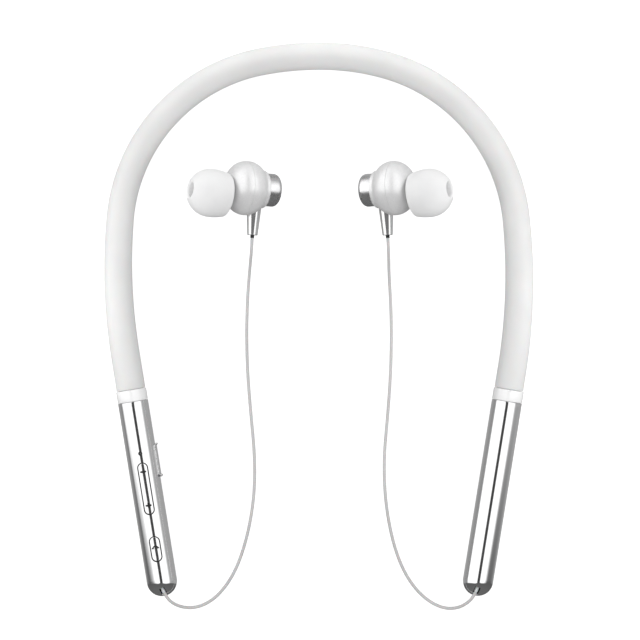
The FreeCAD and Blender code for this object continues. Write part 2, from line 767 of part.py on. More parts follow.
def dome_arcs(face, shrink, end):
    """One side of the ball's section, from its flat axis point to the waist: two tangent arcs."""
    semi_x, dome_r = face
    waist = BALL_WAIST_R - shrink
    dome = dome_r - shrink
    ring = BALL_R - BALL_WAIST_R
    offset = dome_r - semi_x
    lean = math.atan2(ring, offset)
    bend = (lean + math.pi / 2) / 2
    pole = V(end * (dome - offset), 0, 0)
    shallow = V(end * (dome * math.cos(lean / 2) - offset), dome * math.sin(lean / 2), 0)
    tangent = V(end * waist * math.cos(lean), ring + waist * math.sin(lean), 0)
    tight = V(end * waist * math.cos(bend), ring + waist * math.sin(bend), 0)
    edges = [
        Part.Arc(pole, shallow, tangent).toShape(),
        Part.Arc(tangent, tight, V(0, ring + waist, 0)).toShape(),
    ]
    return edges, pole


def ball(shrink):
    """The bud's flattened ball, made smaller all round: a shallow dome each way from a tighter waist."""
    front, front_pole = dome_arcs(BALL_FRONT, shrink, 1)
    back, back_pole = dome_arcs(BALL_BACK, shrink, -1)
    edges = front + back[::-1] + [Part.LineSegment(back_pole, front_pole).toShape()]
    return Part.Face(Part.Wire(edges)).revolve(V(0, 0, 0), V(1, 0, 0), 360)


def stem_cone(grow, start):
    """The stem's cone, made wider all round, from a point along its axis."""
    slope = (STEM_TOP_R - STEM_END_R) / (STEM_END - STEM_START)
    wide = STEM_TOP_R - slope * (start - STEM_START) + grow
    return Part.makeCone(wide, STEM_END_R + grow, STEM_END - start, V(STEM_X, start, 0), V(0, 1, 0))


def bud_shells():
    """The ball's front shell with its nozzle, and its back shell with the lip round the cap."""
    reach = BALL_R + CUT_REACH
    front_half = block((SEAM_X, -reach, -reach), (reach, reach, reach))
    back_half = block((-reach, -reach, -reach), (SEAM_X, reach, reach))
    skin = ball(0).cut(ball(BALL_WALL))
    nozzle = nozzle_rod(NOZZLE_R, NOZZLE_ROOT, NOZZLE_END)
    nozzle = nozzle.cut(ball(BALL_WALL))
    groove = nozzle_rod(NOZZLE_R + CUT_REACH, *NOZZLE_GROOVE)
    groove = groove.cut(nozzle_rod(NOZZLE_R - NOZZLE_GROOVE_DEPTH, NOZZLE_ROOT, NOZZLE_END))
    bore = nozzle_rod(NOZZLE_BORE_R, NOZZLE_ROOT - CUT_REACH, NOZZLE_END + CUT_REACH)
    front = joined([skin.common(front_half), nozzle]).cut([groove, bore])
    lip = cylinder(LIP_R, V(LIP_BACK, 0, 0), V(LIP_FRONT, 0, 0)).cut(ball(BALL_WALL))
    cap_hole = cylinder(CAP_R + CAP_FIT, V(CAP_BACK, 0, 0), V(CAP_FRONT, 0, 0))
    stem_hole = stem_cone(STEM_FIT, STEM_START - STEM_FIT)
    back = joined([skin.common(back_half), lip]).cut([cap_hole, stem_hole])
    return front, back


def chrome_cap():
    """Polished cup that closes the back of the bud, with a rolled outer edge."""
    cup = cylinder(CAP_R, V(CAP_BACK, 0, 0), V(CAP_FRONT, 0, 0))
    rim = [e for e in cup.Edges if abs(e.CenterOfMass.x - CAP_BACK) < 0.01 and e.Length > 10]
    cup = cup.makeFillet(CAP_ROUND, rim)
    hollow = cylinder(CAP_R - CAP_WALL, V(CAP_BACK + CAP_WALL, 0, 0), V(0, 0, 0))
    return cup.cut(hollow)


def driver():
    """Dynamic speaker: a stepped metal can."""
    near, far = DRIVER_ENDS
    wide = cylinder(DRIVER_R, V(near, 0, 0), V(far, 0, 0))
    narrow = cylinder(DRIVER_REAR_R, V(DRIVER_REAR, 0, 0), V(near, 0, 0))
    return joined([wide, narrow])


def diaphragm():
    """Thin domed sheet in front of the speaker can."""
    near, far = FILM_ENDS
    rim = cylinder(FILM_R, V(near, 0, 0), V(far, 0, 0))
    reach = cylinder(FILM_DOME_EDGE, V((near + far) / 2, 0, 0), V(BALL_R, 0, 0))
    dome = Part.makeSphere(FILM_DOME_R, V(FILM_DOME_X, 0, 0)).common(reach)
    return joined([rim, dome])


def bulge(radius_from, radius_to, depth):
    """The radius of an arc that leaves the widest point square and is narrower after a depth."""
    drop = radius_from - radius_to
    return (depth ** 2 + drop ** 2) / (2 * drop)


def eartip():
    """Soft bulb-shaped tip: a core that grips the nozzle and a skirt that folds back over it."""
    mouth = TIP_HOLE_R + TIP_MOUTH_BEVEL
    front = math.sqrt(TIP_R ** 2 - mouth ** 2)
    inner = TIP_R - TIP_SKIN
    rear_inner = TIP_REAR_R - TIP_SKIN
    rim = TIP_REAR + TIP_SKIN / 2
    curve = bulge(TIP_R, TIP_REAR_R, rim)
    half = rim / 2
    belly = TIP_R - curve + math.sqrt(curve ** 2 - half ** 2)
    floor = math.sqrt(inner ** 2 - TIP_HOLLOW_DEPTH ** 2)
    bore_end = NOZZLE_END + TIP_STOP
    diagonal = math.sqrt(0.5)
    slant = math.atan2(floor, TIP_HOLLOW_DEPTH) / 2 + math.pi / 4
    edges = [
        Part.Arc(V(front, mouth, 0), V(TIP_R * diagonal, TIP_R * diagonal, 0), V(0, TIP_R, 0)).toShape(),
        Part.Arc(V(0, TIP_R, 0), V(half, belly, 0), V(rim, TIP_REAR_R, 0)).toShape(),
        Part.Arc(
            V(rim, TIP_REAR_R, 0),
            V(TIP_REAR, TIP_REAR_R - TIP_SKIN / 2, 0),
            V(rim, rear_inner, 0),
        ).toShape(),
        Part.Arc(V(rim, rear_inner, 0), V(half, belly - TIP_SKIN, 0), V(0, inner, 0)).toShape(),
        Part.Arc(
            V(0, inner, 0),
            V(inner * math.cos(slant), inner * math.sin(slant), 0),
            V(TIP_HOLLOW_DEPTH, floor, 0),
        ).toShape(),
    ]
    inside = [
        V(TIP_HOLLOW_DEPTH, floor, 0),
        V(TIP_HOLLOW_DEPTH, TIP_CORE_R, 0),
        V(TIP_CORE_REAR, TIP_CORE_R, 0),
        V(TIP_CORE_REAR, TIP_BORE_R, 0),
        V(bore_end, TIP_BORE_R, 0),
        V(bore_end, TIP_HOLE_R, 0),
        V(front - TIP_MOUTH_BEVEL, TIP_HOLE_R, 0),
        V(front, mouth, 0),
    ]
    edges += [Part.LineSegment(start, end).toShape() for start, end in zip(inside, inside[1:])]
    tip = Part.Face(Part.Wire(edges)).revolve(V(0, 0, 0), V(1, 0, 0), 360)
    tip.rotate(V(0, 0, 0), UP, -NOZZLE_TILT)
    tip.translate(nozzle_point(0))
    return tip


def stem():
    """Slim polished cone that carries the cord into the bud."""
    bore = cylinder(GROMMET_R + GROMMET_FIT, V(STEM_X, STEM_START, 0), V(STEM_X, STEM_END, 0))
    return stem_cone(0, STEM_START).cut(bore)


def grommet():
    return cylinder(GROMMET_R, V(STEM_X, STEM_END - GROMMET_ROOT, 0), V(STEM_X, GROMMET_END, 0))


def magnet():
    back = CAP_BACK + CAP_WALL + MAGNET_GAP
    return cylinder(MAGNET_R, V(back, 0, 0), V(back + MAGNET_THICK, 0, 0))


def build_buds():
    front, back = bud_shells()
    parts = {
        "bud_front_shell": front,
        "bud_back_shell": back,
        "bud_cap": chrome_cap(),
        "bud_magnet": magnet(),
        "bud_driver": driver(),
        "bud_diaphragm": diaphragm(),
        "bud_mesh": nozzle_rod(NOZZLE_BORE_R - 0.03, NOZZLE_END - MESH_SEAT[0], NOZZLE_END - MESH_SEAT[1]),
        "eartip": eartip(),
        "bud_stem": stem(),
        "bud_grommet": grommet(),
    }
    for name, side in BAND_SIDES.items():
        for part_name, shape in parts.items():
            save(to_bud(shape, side["sign"]), f"{name}_{part_name}")


# ---------------------------------------------------------------- cords
def cord(points):
    """A tube on straight runs joined by tangent arcs, each as large as its runs allow."""
    edges = []
    last = points[0]
    length = 0.0
    radii = []
    for before, corner, after in zip(points, points[1:], points[2:]):
        come = before - corner
        go = after - corner
        half_turn = (math.pi - come.getAngle(go)) / 2
        cut_back = RUN_SHARE * min(come.Length, go.Length)
        radius = cut_back / math.tan(half_turn)
        radii.append(radius)
        come.normalize()
        go.normalize()
        start = corner + come * cut_back
        end = corner + go * cut_back
        inward = come + go
        inward.normalize()
        middle = corner + inward * (radius / math.cos(half_turn) - radius)
        edges.append(Part.LineSegment(last, start).toShape())
        edges.append(Part.Arc(start, middle, end).toShape())
        length += (start - last).Length + 2 * half_turn * radius
        last = end
    edges.append(Part.LineSegment(last, points[-1]).toShape())
    length += (points[-1] - last).Length
    path = Part.Wire(edges)
    ring = Part.Wire(Part.makeCircle(CORD_R, points[0], points[1] - points[0]))
    tube = path.makePipeShell([ring], True, False)
    return tube, length, radii


def build_cords():
    for name, route in CORD_ROUTES.items():
        tube, length, radii = cord([V(*p) for p in route])
        save(tube, f"{name}_cord")
        share = tube.Volume / (math.pi * CORD_R ** 2 * length)
        print(f"  length {length:.1f} mm, volume / (section x length) {share:.4f}")
        print("  radii " + " ".join(f"{r:.1f}" for r in radii))


build_band()
build_left_arm()
build_right_arm()
build_buds()
build_cords()
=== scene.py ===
import bmesh
import bpy
import json
import math
from mathutils import Matrix, Vector


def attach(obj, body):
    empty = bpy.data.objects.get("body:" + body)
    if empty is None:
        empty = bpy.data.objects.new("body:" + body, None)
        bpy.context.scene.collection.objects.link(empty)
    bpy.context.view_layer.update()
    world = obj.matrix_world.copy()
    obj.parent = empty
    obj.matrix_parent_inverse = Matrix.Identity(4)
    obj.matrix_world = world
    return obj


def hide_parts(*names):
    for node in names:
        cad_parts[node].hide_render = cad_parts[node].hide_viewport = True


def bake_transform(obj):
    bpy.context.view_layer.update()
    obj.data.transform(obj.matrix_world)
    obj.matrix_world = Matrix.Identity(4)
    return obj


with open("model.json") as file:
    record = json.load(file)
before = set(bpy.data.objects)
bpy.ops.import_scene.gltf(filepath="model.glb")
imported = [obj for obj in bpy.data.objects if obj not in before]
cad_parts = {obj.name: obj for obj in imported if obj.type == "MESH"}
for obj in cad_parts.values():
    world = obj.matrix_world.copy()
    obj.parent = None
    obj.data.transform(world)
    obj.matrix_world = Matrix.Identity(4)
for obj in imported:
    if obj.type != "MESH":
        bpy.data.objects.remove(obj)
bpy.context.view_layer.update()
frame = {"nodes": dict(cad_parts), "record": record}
MM = 0.001
UP = Vector((0, 0, 1))

# ---- dimensions, in millimetres
# neckband: each side leaves the apex tangent to X and is (radius, degrees) arcs, then a straight
APEX_Y = 81.6
AXIS_Z = 4.7
BAND_R_BACK = 4.25
BAND_R_FRONT = 4.5
BAND_SIDES = {
    "left": {"sign": -1, "arcs": [(96.5, 10.9), (54.1, 74.2), (172.0, 14.05)], "straight": 11.3},
    "right": {"sign": 1, "arcs": [(76.6, 15.7), (55.4, 68.4), (178.5, 15.05)], "straight": 6.2},
}
BAND_GAP = 0.1
SPIGOT_R = 3.7
SPIGOT_LENGTH = 2.9
WIRE_R = 0.6
WIRE_DROP = -0.9
WIRE_REACH = 2.5
HARNESS_R = 0.9
HARNESS_LIFT = 0.75
HARNESS_REACH = 9.2

# barrel, in the arm frame: x across, y up, z along the arm from the collar's edge
BARREL_R = 4.7
INNER_R = 4.05
BARREL_START = 3.7
ARM_LENGTH = 64.7
DOME_S = ARM_LENGTH - BARREL_R
COLLAR_LENGTH = 3.6
ROCKER_S = 30.8
ROCKER_SIZE = (15.9, 2.9)
CALL_S = 49.65
CALL_SIZE = (7.6, 3.0)
KEY_GAP = 0.25
LED_S = 19.8
PORT_S = 22.8
PORT_UP = -0.05
MIC_S = 54.8
LED_HOLE_R = 0.65
MIC_HOLE_R = 0.4
CUT_LOW = 3.0
CUT_HIGH = 6.0
SHELL_GAP = 0.3
COLLAR_SOCKET = (3.0, 3.8)
COLLAR_WIRE_HOLE_R = 2.2
COLLAR_SPIGOT_END = 8.1
COLLAR_SPIGOT_R = INNER_R - 0.1
COLLAR_SPIGOT_BORE_R = INNER_R - 0.85
COLLAR_PIP_R = 0.4
KEY_TRIM = 0.1
KEY_ROUND = 0.12
KEY_DEPTH = 1.6
SIGN_DEPTH = 0.15
SIGN_HALF = 1.0
SIGN_LINE_HALF = 0.3
MINUS_S = ROCKER_S - 5.3
PLUS_S = ROCKER_S + 5.2
HANDSET_S = CALL_S - 0.1
HANDSET_R = 0.84
PORT_CUTOUT = (8.1, 3.1)
PORT_CUTOUT_ROUND = 0.7
PLUG_SIZE = (7.5, 2.5)
PLUG_ROUND = 0.55
COVER_SIZE = (10.3, 4.2)
COVER_THICK = 0.4
COVER_IN = BARREL_R + 0.05
COVER_CORNER = 0.9
COVER_EDGE = 0.16
COVER_LIP = (0.34, 0.9)
COVER_HINGE = (0.38, 1.6)

# earbud, in the bud frame: x towards the ear, y along the stem, z square to both
BALL_CENTRE = (22.94, 40.5, 8.75)
BUD_TILT = 26.0
BUD_ROLL = 3.5
BALL_R = 8.4
BALL_WAIST_R = 6.0
BALL_BACK = (7.2, 9.0)
BALL_FRONT = (6.3, 15.75)
BALL_WALL = 0.9
SEAM_X = 0.6
SEAM_HALF = 0.025
SEAM_EDGE = 0.03
CAP_R = 5.1
CAP_BACK = -10.5
CAP_FRONT = -4.4
CAP_ROUND = 1.4
CAP_FIT = 0.05
LIP_R = 5.8
LIP_BACK = -6.1
LIP_ROUND = 0.22
NOZZLE_TILT = 4.2
NOZZLE_BORE_R = 1.75
NOZZLE_R = 2.35
NOZZLE_NECK_R = 2.15
TIP_CENTRE = (11.72, 2.34)
TIP_R = 7.45
TIP_REAR = -5.15
TIP_REAR_R = 6.75
TIP_SKIN = 0.8
TIP_HOLE_R = 2.2
TIP_MOUTH_BEVEL = 0.6
TIP_CORE_R = 3.15
TIP_CORE_REAR = -4.4
TIP_BORE_R = 2.42
TIP_BORE_END = 1.55
TIP_HOLLOW_DEPTH = 3.6
STEM_X = -3.25
STEM_START = 5.9
STEM_TOP_R = 2.27
STEM_END = 14.35
STEM_END_R = 1.6
STEM_FIT = 0.08
STEM_HOLE_END = 10.5

# cords
CORD_R = 0.5
SLEEVE_BACK = 5.0
SLEEVE_R = 0.62
SLEEVE_FLANGE = (0.8, 0.8)
SLEEVE_RIB_R = 0.9
SLOT_R = 0.85
SLOT_BACK = 1.6
SLOT_TOP = 4.0
CORD_ROUTES = {
    "left": [
        (-48.17, -84.37, 6.95), (-47.3, -86.25, 6.75), (-45.2, -88.2, 5.5), (-42.3, -89.45, 3.6),
        (-38.9, -89.7, 1.8), (-35.4, -88.6, 0.75), (-32.0, -86.2, 0.5), (-28.8, -82.4, 0.5),
        (-26.0, -77.5, 0.5), (-23.6, -70.9, 0.5), (-21.6, -62.6, 0.5), (-20.35, -53.0, 0.5),
        (-20.35, -42.0, 0.5), (-21.5, -30.0, 0.5), (-22.6, -16.5, 0.5), (-22.9, -4.5, 0.5),
        (-22.65, 5.0, 0.5), (-22.25, 11.0, 1.1), (-21.85, 15.2, 3.0), (-21.45, 18.7, 5.6),
        (-21.147, 21.956, 7.325), (-20.952, 25.15, 7.325),
    ],
    "right": [
        (48.15, -84.1, 6.95), (47.35, -86.0, 6.75), (45.35, -88.1, 5.5), (42.5, -89.65, 3.6),
        (39.1, -89.95, 1.8), (35.5, -88.75, 0.75), (31.9, -86.2, 0.5), (28.6, -82.5, 0.5),
        (25.7, -77.6, 0.5), (23.2, -71.0, 0.5), (21.3, -62.8, 0.5), (20.1, -53.2, 0.5),
        (19.95, -42.3, 0.5), (21.0, -31.0, 0.5), (22.0, -17.5, 0.5), (22.3, -5.0, 0.5),
        (22.05, 5.0, 0.5), (21.65, 11.2, 1.1), (21.4, 15.3, 3.0), (21.3, 18.8, 5.6),
        (21.147, 21.956, 7.325), (20.952, 25.15, 7.325),
    ],
}


# ---- materials
class Nodes:
    """One material's node tree, with short calls for the nodes that are used here."""

    def __init__(self, name):
        self.material = bpy.data.materials.new(name)
        self.material.use_nodes = True
        self.tree = self.material.node_tree
        self.shader = self.tree.nodes["Principled BSDF"]
        self.place = self.tree.nodes.new("ShaderNodeTexCoord").outputs["Object"]

    def link(self, source, target):
        self.tree.links.new(source, target)

    def set(self, **values):
        """Uniform values, straight on the shader's own sockets; underscores stand for spaces."""
        for name, value in values.items():
            self.shader.inputs[name.replace("_", " ")].default_value = value
        return self

    def noise(self, scale, detail):
        node = self.tree.nodes.new("ShaderNodeTexNoise")
        node.inputs["Scale"].default_value = scale
        node.inputs["Detail"].default_value = detail
        self.link(self.place, node.inputs["Vector"])
        return node.outputs["Fac"]

    def ramp(self, value, dark, light):
        """Colours from dark to light as value goes from 0.35 to 0.65."""
        node = self.tree.nodes.new("ShaderNodeValToRGB")
        first, last = node.color_ramp.elements
        first.position, last.position = 0.35, 0.65
        first.color = (*dark, 1)
        last.color = (*light, 1)
        self.link(value, node.inputs["Fac"])
        return node.outputs["Color"]

    def spread(self, value, low, high):
        """A number from low to high as value goes from 0.3 to 0.7."""
        node = self.tree.nodes.new("ShaderNodeMapRange")
        for name, number in (("From Min", 0.3), ("From Max", 0.7), ("To Min", low), ("To Max", high)):
            node.inputs[name].default_value = number
        self.link(value, node.inputs["Value"])
        return node.outputs["Result"]

    def bump(self, value, depth, strength):
        node = self.tree.nodes.new("ShaderNodeBump")
        node.inputs["Distance"].default_value = depth
        node.inputs["Strength"].default_value = strength
        self.link(value, node.inputs["Height"])
        self.link(node.outputs["Normal"], self.shader.inputs["Normal"])

    def bricks(self, scale, line_width, line, *fills):
        """A grid of fills between lines: its colour, and where its lines run."""
        node = self.tree.nodes.new("ShaderNodeTexBrick")
        node.inputs["Scale"].default_value = scale
        node.inputs["Mortar Size"].default_value = line_width
        for name, colour in zip(("Mortar", "Color1", "Color2"), (line, *fills)):
            node.inputs[name].default_value = (*colour, 1)
        self.link(self.place, node.inputs["Vector"])
        self.colour(node.outputs["Color"])
        return node

    def colour(self, value):
        self.link(value, self.shader.inputs["Base Color"])

    def roughness(self, value):
        self.link(value, self.shader.inputs["Roughness"])

    def finish(self, tone, dark, light, gloss, low, high, grain, depth, strength):
        """Colour, roughness and relief, each led by a noise of (scale, detail)."""
        self.colour(self.ramp(self.noise(*tone), dark, light))
        self.roughness(self.spread(self.noise(*gloss), low, high))
        self.bump(self.noise(*grain), depth, strength)
        return self.material


def silicone(name, dark, light, rough, grain):
    """Soft-touch silicone rubber: fine moulded grain and faint handling marks."""
    m = Nodes(name).set(IOR=1.41, Sheen_Weight=0.15, Sheen_Roughness=0.4)
    m.set(Subsurface_Weight=0.12, Subsurface_Scale=0.001)
    return m.finish((60, 4), dark, light, (240, 3), rough - 0.05, rough + 0.05, (grain, 4), 0.00003, 0.5)


def polished(name, tint, rough):
    """Polished plating with faint buffing marks."""
    m = Nodes(name).set(Metallic=1.0)
    worn = [c * 0.97 for c in tint]
    return m.finish((35, 3), worn, tint, (500, 2), rough * 0.75, rough * 1.35, (900, 2), 0.000002, 0.35)


def gloss_plastic(name, dark, light, rough, coat):
    m = Nodes(name).set(IOR=1.49, Coat_Weight=coat, Coat_Roughness=0.06)
    return m.finish((80, 3), dark, light, (300, 3), rough * 0.8, rough * 1.2, (1500, 2), 0.000004, 0.4)


def pearl(name):
    """Pearl-white lacquer: a satin, slightly metallic white with fine flakes."""
    m = Nodes(name).set(Metallic=0.3, IOR=1.5, Coat_Weight=0.25, Coat_Roughness=0.25)
    dark, light = (0.86, 0.86, 0.865), (0.95, 0.95, 0.95)
    return m.finish((4200, 1), dark, light, (900, 2), 0.30, 0.40, (5200, 1), 0.000006, 0.5)


def translucent_silicone(name):
    m = Nodes(name).set(IOR=1.41, Subsurface_Weight=0.3, Subsurface_Scale=0.001)
    m.shader.inputs["Subsurface Radius"].default_value = (1.0, 1.0, 1.0)
    dark, light = (0.91, 0.91, 0.915), (0.95, 0.95, 0.95)
    return m.finish((140, 3), dark, light, (420, 3), 0.30, 0.42, (2400, 3), 0.00001, 0.4)


def moulded(name, dark, light, rough=0.55):
    """Plain moulded plastic, film or board, for pieces inside the object."""
    m = Nodes(name)
    return m.finish((400, 4), dark, light, (700, 3), rough - 0.08, rough + 0.08, (2500, 3), 0.00001, 0.4)


def clear_plastic(name):
    m = Nodes(name).set(Transmission_Weight=0.85, IOR=1.58)
    dark, light = (0.90, 0.92, 0.95), (0.97, 0.98, 1.0)
    return m.finish((500, 2), dark, light, (700, 2), 0.08, 0.16, (1800, 2), 0.000004, 0.4)


def woven_mesh(name):
    """Fine steel mesh: crossed bright wires over dark openings."""
    m = Nodes(name).set(Metallic=0.9)
    wave = m.bricks(5200, 0.035, (0.55, 0.55, 0.56), (0.02, 0.02, 0.02), (0.03, 0.03, 0.03))
    wave.offset = 0.0
    m.roughness(m.spread(m.noise(900, 2), 0.3, 0.45))
    m.bump(wave.outputs["Fac"], 0.00003, 0.6)
    return m.material


def circuit_board(name):
    """Green solder mask with tracks that show through it."""
    m = Nodes(name).set(Coat_Weight=0.4, Coat_Roughness=0.2)
    tracks = m.bricks(900, 0.03, (0.03, 0.28, 0.10), (0.01, 0.13, 0.05), (0.01, 0.10, 0.04))
    m.roughness(m.spread(m.noise(600, 2), 0.35, 0.5))
    m.bump(tracks.outputs["Fac"], 0.00002, 0.5)
    return m.material


METAL = (0.80, 0.80, 0.805)
FINISHES = {
    "white_silicone": (silicone, (0.78, 0.78, 0.775), (0.82, 0.82, 0.815), 0.5, 1600),
    "polished_shell": (polished, METAL, 0.07),
    "collar_white": (gloss_plastic, (0.96, 0.96, 0.96), (0.99, 0.99, 0.99), 0.12, 0.6),
    "bud_white": (pearl,),
    "tip_silicone": (translucent_silicone,),
    # the white cord's grey base is painted shade, spread evenly for its shaded inner side
    "cord_white": (silicone, (0.60, 0.60, 0.60), (0.66, 0.66, 0.66), 0.4, 2400),
    "sleeve_white": (silicone, (0.90, 0.90, 0.90), (0.94, 0.94, 0.94), 0.4, 2400),
    "cap_chrome": (polished, METAL, 0.27),
    "cover_metal": (polished, METAL, 0.22),
    "stem_chrome": (polished, METAL, 0.12),
    "spring_steel": (polished, (0.55, 0.55, 0.56), 0.3),
    "port_steel": (polished, (0.68, 0.67, 0.64), 0.28),
    "pcb_green": (circuit_board,),
    "black_plastic": (moulded, (0.012, 0.012, 0.012), (0.028, 0.028, 0.03)),
    "light_pipe": (clear_plastic,),
    "led_white": (moulded, (0.80, 0.80, 0.72), (0.90, 0.90, 0.84), 0.3),
    "harness_grey": (moulded, (0.05, 0.05, 0.055), (0.08, 0.08, 0.085), 0.5),
    "cell_foil": (polished, (0.60, 0.62, 0.66), 0.35),
    "foam_black": (moulded, (0.02, 0.02, 0.02), (0.05, 0.05, 0.05), 0.9),
    "magnet_nickel": (polished, (0.66, 0.64, 0.60), 0.18),
    "diaphragm_film": (moulded, (0.50, 0.42, 0.26), (0.60, 0.52, 0.34), 0.25),
    "mesh_steel": (woven_mesh,),
    "module_shield": (polished, (0.62, 0.62, 0.62), 0.3),
    "sign_grey": (moulded, (0.008, 0.008, 0.008), (0.02, 0.02, 0.02), 0.7),
}
MATERIALS = {name: make(name, *values) for name, (make, *values) in FINISHES.items()}


# ---- mesh helpers
def new_mesh(name, points, faces, place=None, sharp=35.0):
    """A smooth-shaded mesh object from millimetre points, put in its place by a frame matrix."""
    place = place or Matrix.Identity(4)
    mesh = bpy.data.meshes.new(name)
    mesh.from_pydata([(place @ Vector(p)) * MM for p in points], [], faces)
    mesh.validate()
    mesh.update()
    piece = in_scene(name, mesh)
    smooth(piece, sharp)
    return piece


def in_scene(name, data):
    """A new object of the scene, for its mesh, curve, light or camera."""
    piece = bpy.data.objects.new(name, data)
    bpy.context.scene.collection.objects.link(piece)
    return piece


def smooth(piece, sharp):
    mesh = piece.data
    mesh.polygons.foreach_set("use_smooth", [True] * len(mesh.polygons))
    mesh.set_sharp_from_angle(angle=math.radians(sharp))


def dress(piece, material, body, nodes=()):
    """Give a finished piece its material, its body and the nodes it stands for."""
    piece.data.materials.clear()
    piece.data.materials.append(MATERIALS[material])
    if body:
        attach(piece, body)
    if nodes:
        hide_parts(*nodes)
    return piece


def bow(centre, radius, start, end, steps):
    """Points (along, out) of a round stretch of an outline, between two angles in degrees."""
    points = []
    for i in range(steps + 1):
        turn = math.radians(start + (end - start) * i / steps)
        points.append((centre[0] + radius * math.cos(turn), centre[1] + radius * math.sin(turn)))
    return points


def lathe(name, outline, place, steps=128, arc=(0.0, 360.0), closed=True, sharp=35.0):
    """A solid of revolution about the place's X axis from an outline of (along, out) points.
    A closed outline comes back to its first point; a part turn is capped with the outline itself."""
    whole = arc[1] - arc[0] >= 360.0
    columns = steps if whole else steps + 1
    points = []
    index = []
    for along, out in outline:
        if out < 1e-9:
            index.append([len(points)] * columns)
            points.append((along, 0, 0))
            continue
        index.append([len(points) + i for i in range(columns)])
        for i in range(columns):
            turn = math.radians(arc[0] + (arc[1] - arc[0]) * i / steps)
            points.append((along, out * math.cos(turn), out * math.sin(turn)))
    faces = []
    rows = len(outline)
    for row in range(rows if closed else rows - 1):
        here, there = index[row], index[(row + 1) % rows]
        for i in range(steps):
            j = (i + 1) % columns
            corners = [here[i], there[i], there[j], here[j]]
            corners = [c for k, c in enumerate(corners) if c != corners[k - 1]]
            if len(corners) > 2:
                faces.append(corners)
    if not whole:
        faces.append([ring[0] for ring in reversed(index)])
        faces.append([ring[-1] for ring in index])
    return new_mesh(name, points, faces, place, sharp)


def fix_normals(piece):
    """Turn every face of a closed piece outwards."""
    work = bmesh.new()
    work.from_mesh(piece.data)
    bmesh.ops.recalc_face_normals(work, faces=work.faces)
    work.to_mesh(piece.data)
    work.free()
    return piece


def skinned(name, sections, place=None, sharp=35.0, looped=False, zipped=False):
    """A solid through sections of equal point counts. A looped one comes back to its first section;
    others are capped at both ends, by one face or zipped up in quads."""
    count = len(sections[0])
    rings = [[row * count + i for i in range(count)] for row in range(len(sections))]
    faces = []
    for here, there in zip(rings, rings[1:] + rings[:1] if looped else rings[1:]):
        for i in range(count):
            j = (i + 1) % count
            faces.append([here[i], here[j], there[j], there[i]])
    for ring in () if looped else (rings[0][::-1], rings[-1]):
        if zipped:
            faces += [[ring[i], ring[i + 1], ring[-2 - i], ring[-1 - i]] for i in range(count // 2 - 1)]
        else:
            faces.append(ring)
    points = [point for section in sections for point in section]
    return fix_normals(new_mesh(name, points, faces, place, sharp))


def cut(piece, cutters, sharp=35.0):
    """Take the cutters' shapes out of a piece, and remove them."""
    for cutter in cutters:
        change = piece.modifiers.new("cut", "BOOLEAN")
        change.object = cutter
        change.operation = "DIFFERENCE"
        change.solver = "EXACT"
    graph = bpy.context.evaluated_depsgraph_get()
    made = bpy.data.meshes.new_from_object(piece.evaluated_get(graph))
    piece.modifiers.clear()
    old = piece.data
    piece.data = made
    bpy.data.meshes.remove(old)
    for cutter in cutters:
        bpy.data.objects.remove(cutter)
    smooth(piece, sharp)
    return piece


# ---- frames of the arms and buds
def heading_vector(heading, sign):
    turn = math.radians(heading)
    return Vector((sign * math.cos(turn), -math.sin(turn), 0))


def on_arc(centre, radius, heading, sign):
    turn = math.radians(heading)
    return Vector((sign * (centre[0] + radius * math.sin(turn)), centre[1] + radius * math.cos(turn), AXIS_Z))


def band_arcs(side):
    """Each arc of one side as (centre in X and Y before mirroring, radius, start, end heading)."""
    x, y, heading = 0.0, APEX_Y, 0.0
    arcs = []
    for radius, degrees in side["arcs"]:
        turn = math.radians(heading)
        centre = (x - radius * math.sin(turn), y - radius * math.cos(turn))
        arcs.append((centre, radius, heading, heading + degrees))
        heading += degrees
        turn = math.radians(heading)
        x = centre[0] + radius * math.sin(turn)
        y = centre[1] + radius * math.cos(turn)
    return arcs


def collar_edge(side):
    centre, radius, _, heading = band_arcs(side)[-1]
    direction = heading_vector(heading, side["sign"])
    return on_arc(centre, radius, heading, side["sign"]) + direction * side["straight"], direction


def columns_matrix(first, second, third, origin):
    matrix = Matrix.Identity(4)
    for column, vector in enumerate((first, second, third, origin)):
        for row in range(3):
            matrix[row][column] = vector[row]
    return matrix


def arm_matrix(name):
    """The arm frame: x across, y up, z along the arm."""
    edge, direction = collar_edge(BAND_SIDES[name])
    across = Vector((-direction.y, direction.x, 0))
    return columns_matrix(across, UP, direction, edge)


def turned_axis(matrix):
    """The same frame with its X along the old Z, for pieces that are turned about it."""
    return matrix @ Matrix(((0, 0, -1, 0), (0, 1, 0, 0), (1, 0, 0, 0), (0, 0, 0, 1)))


def bud_matrix(sign):
    tilt = math.radians(BUD_TILT)
    roll = math.radians(BUD_ROLL)
    ear = Vector((sign * math.cos(tilt) * math.cos(roll), math.cos(tilt) * math.sin(roll), math.sin(tilt)))
    stem = Vector((sign * math.sin(roll), -math.cos(roll), 0))
    x, y, z = BALL_CENTRE
    return columns_matrix(ear, stem, ear.cross(stem), Vector((sign * x, y, z)))


def nozzle_matrix(sign):
    """The bud frame moved to the eartip's centre and tilted along the nozzle."""
    shift = Matrix.Translation((*TIP_CENTRE, 0))
    return bud_matrix(sign) @ shift @ Matrix.Rotation(math.radians(-NOZZLE_TILT), 4, "Z")


def run_matrix(start, ahead):
    """A frame at start whose X axis runs ahead."""
    ahead = ahead.normalized()
    side = UP.cross(ahead).normalized()
    return columns_matrix(ahead, side, ahead.cross(side), start)


def line_matrix(start, end):
    """A frame at start whose X axis runs to end, and the distance between them."""
    start, end = Vector(start), Vector(end)
    ahead = (end - start).normalized()
    side = ahead.orthogonal().normalized()
    return columns_matrix(ahead, side, ahead.cross(side), start), (end - start).length


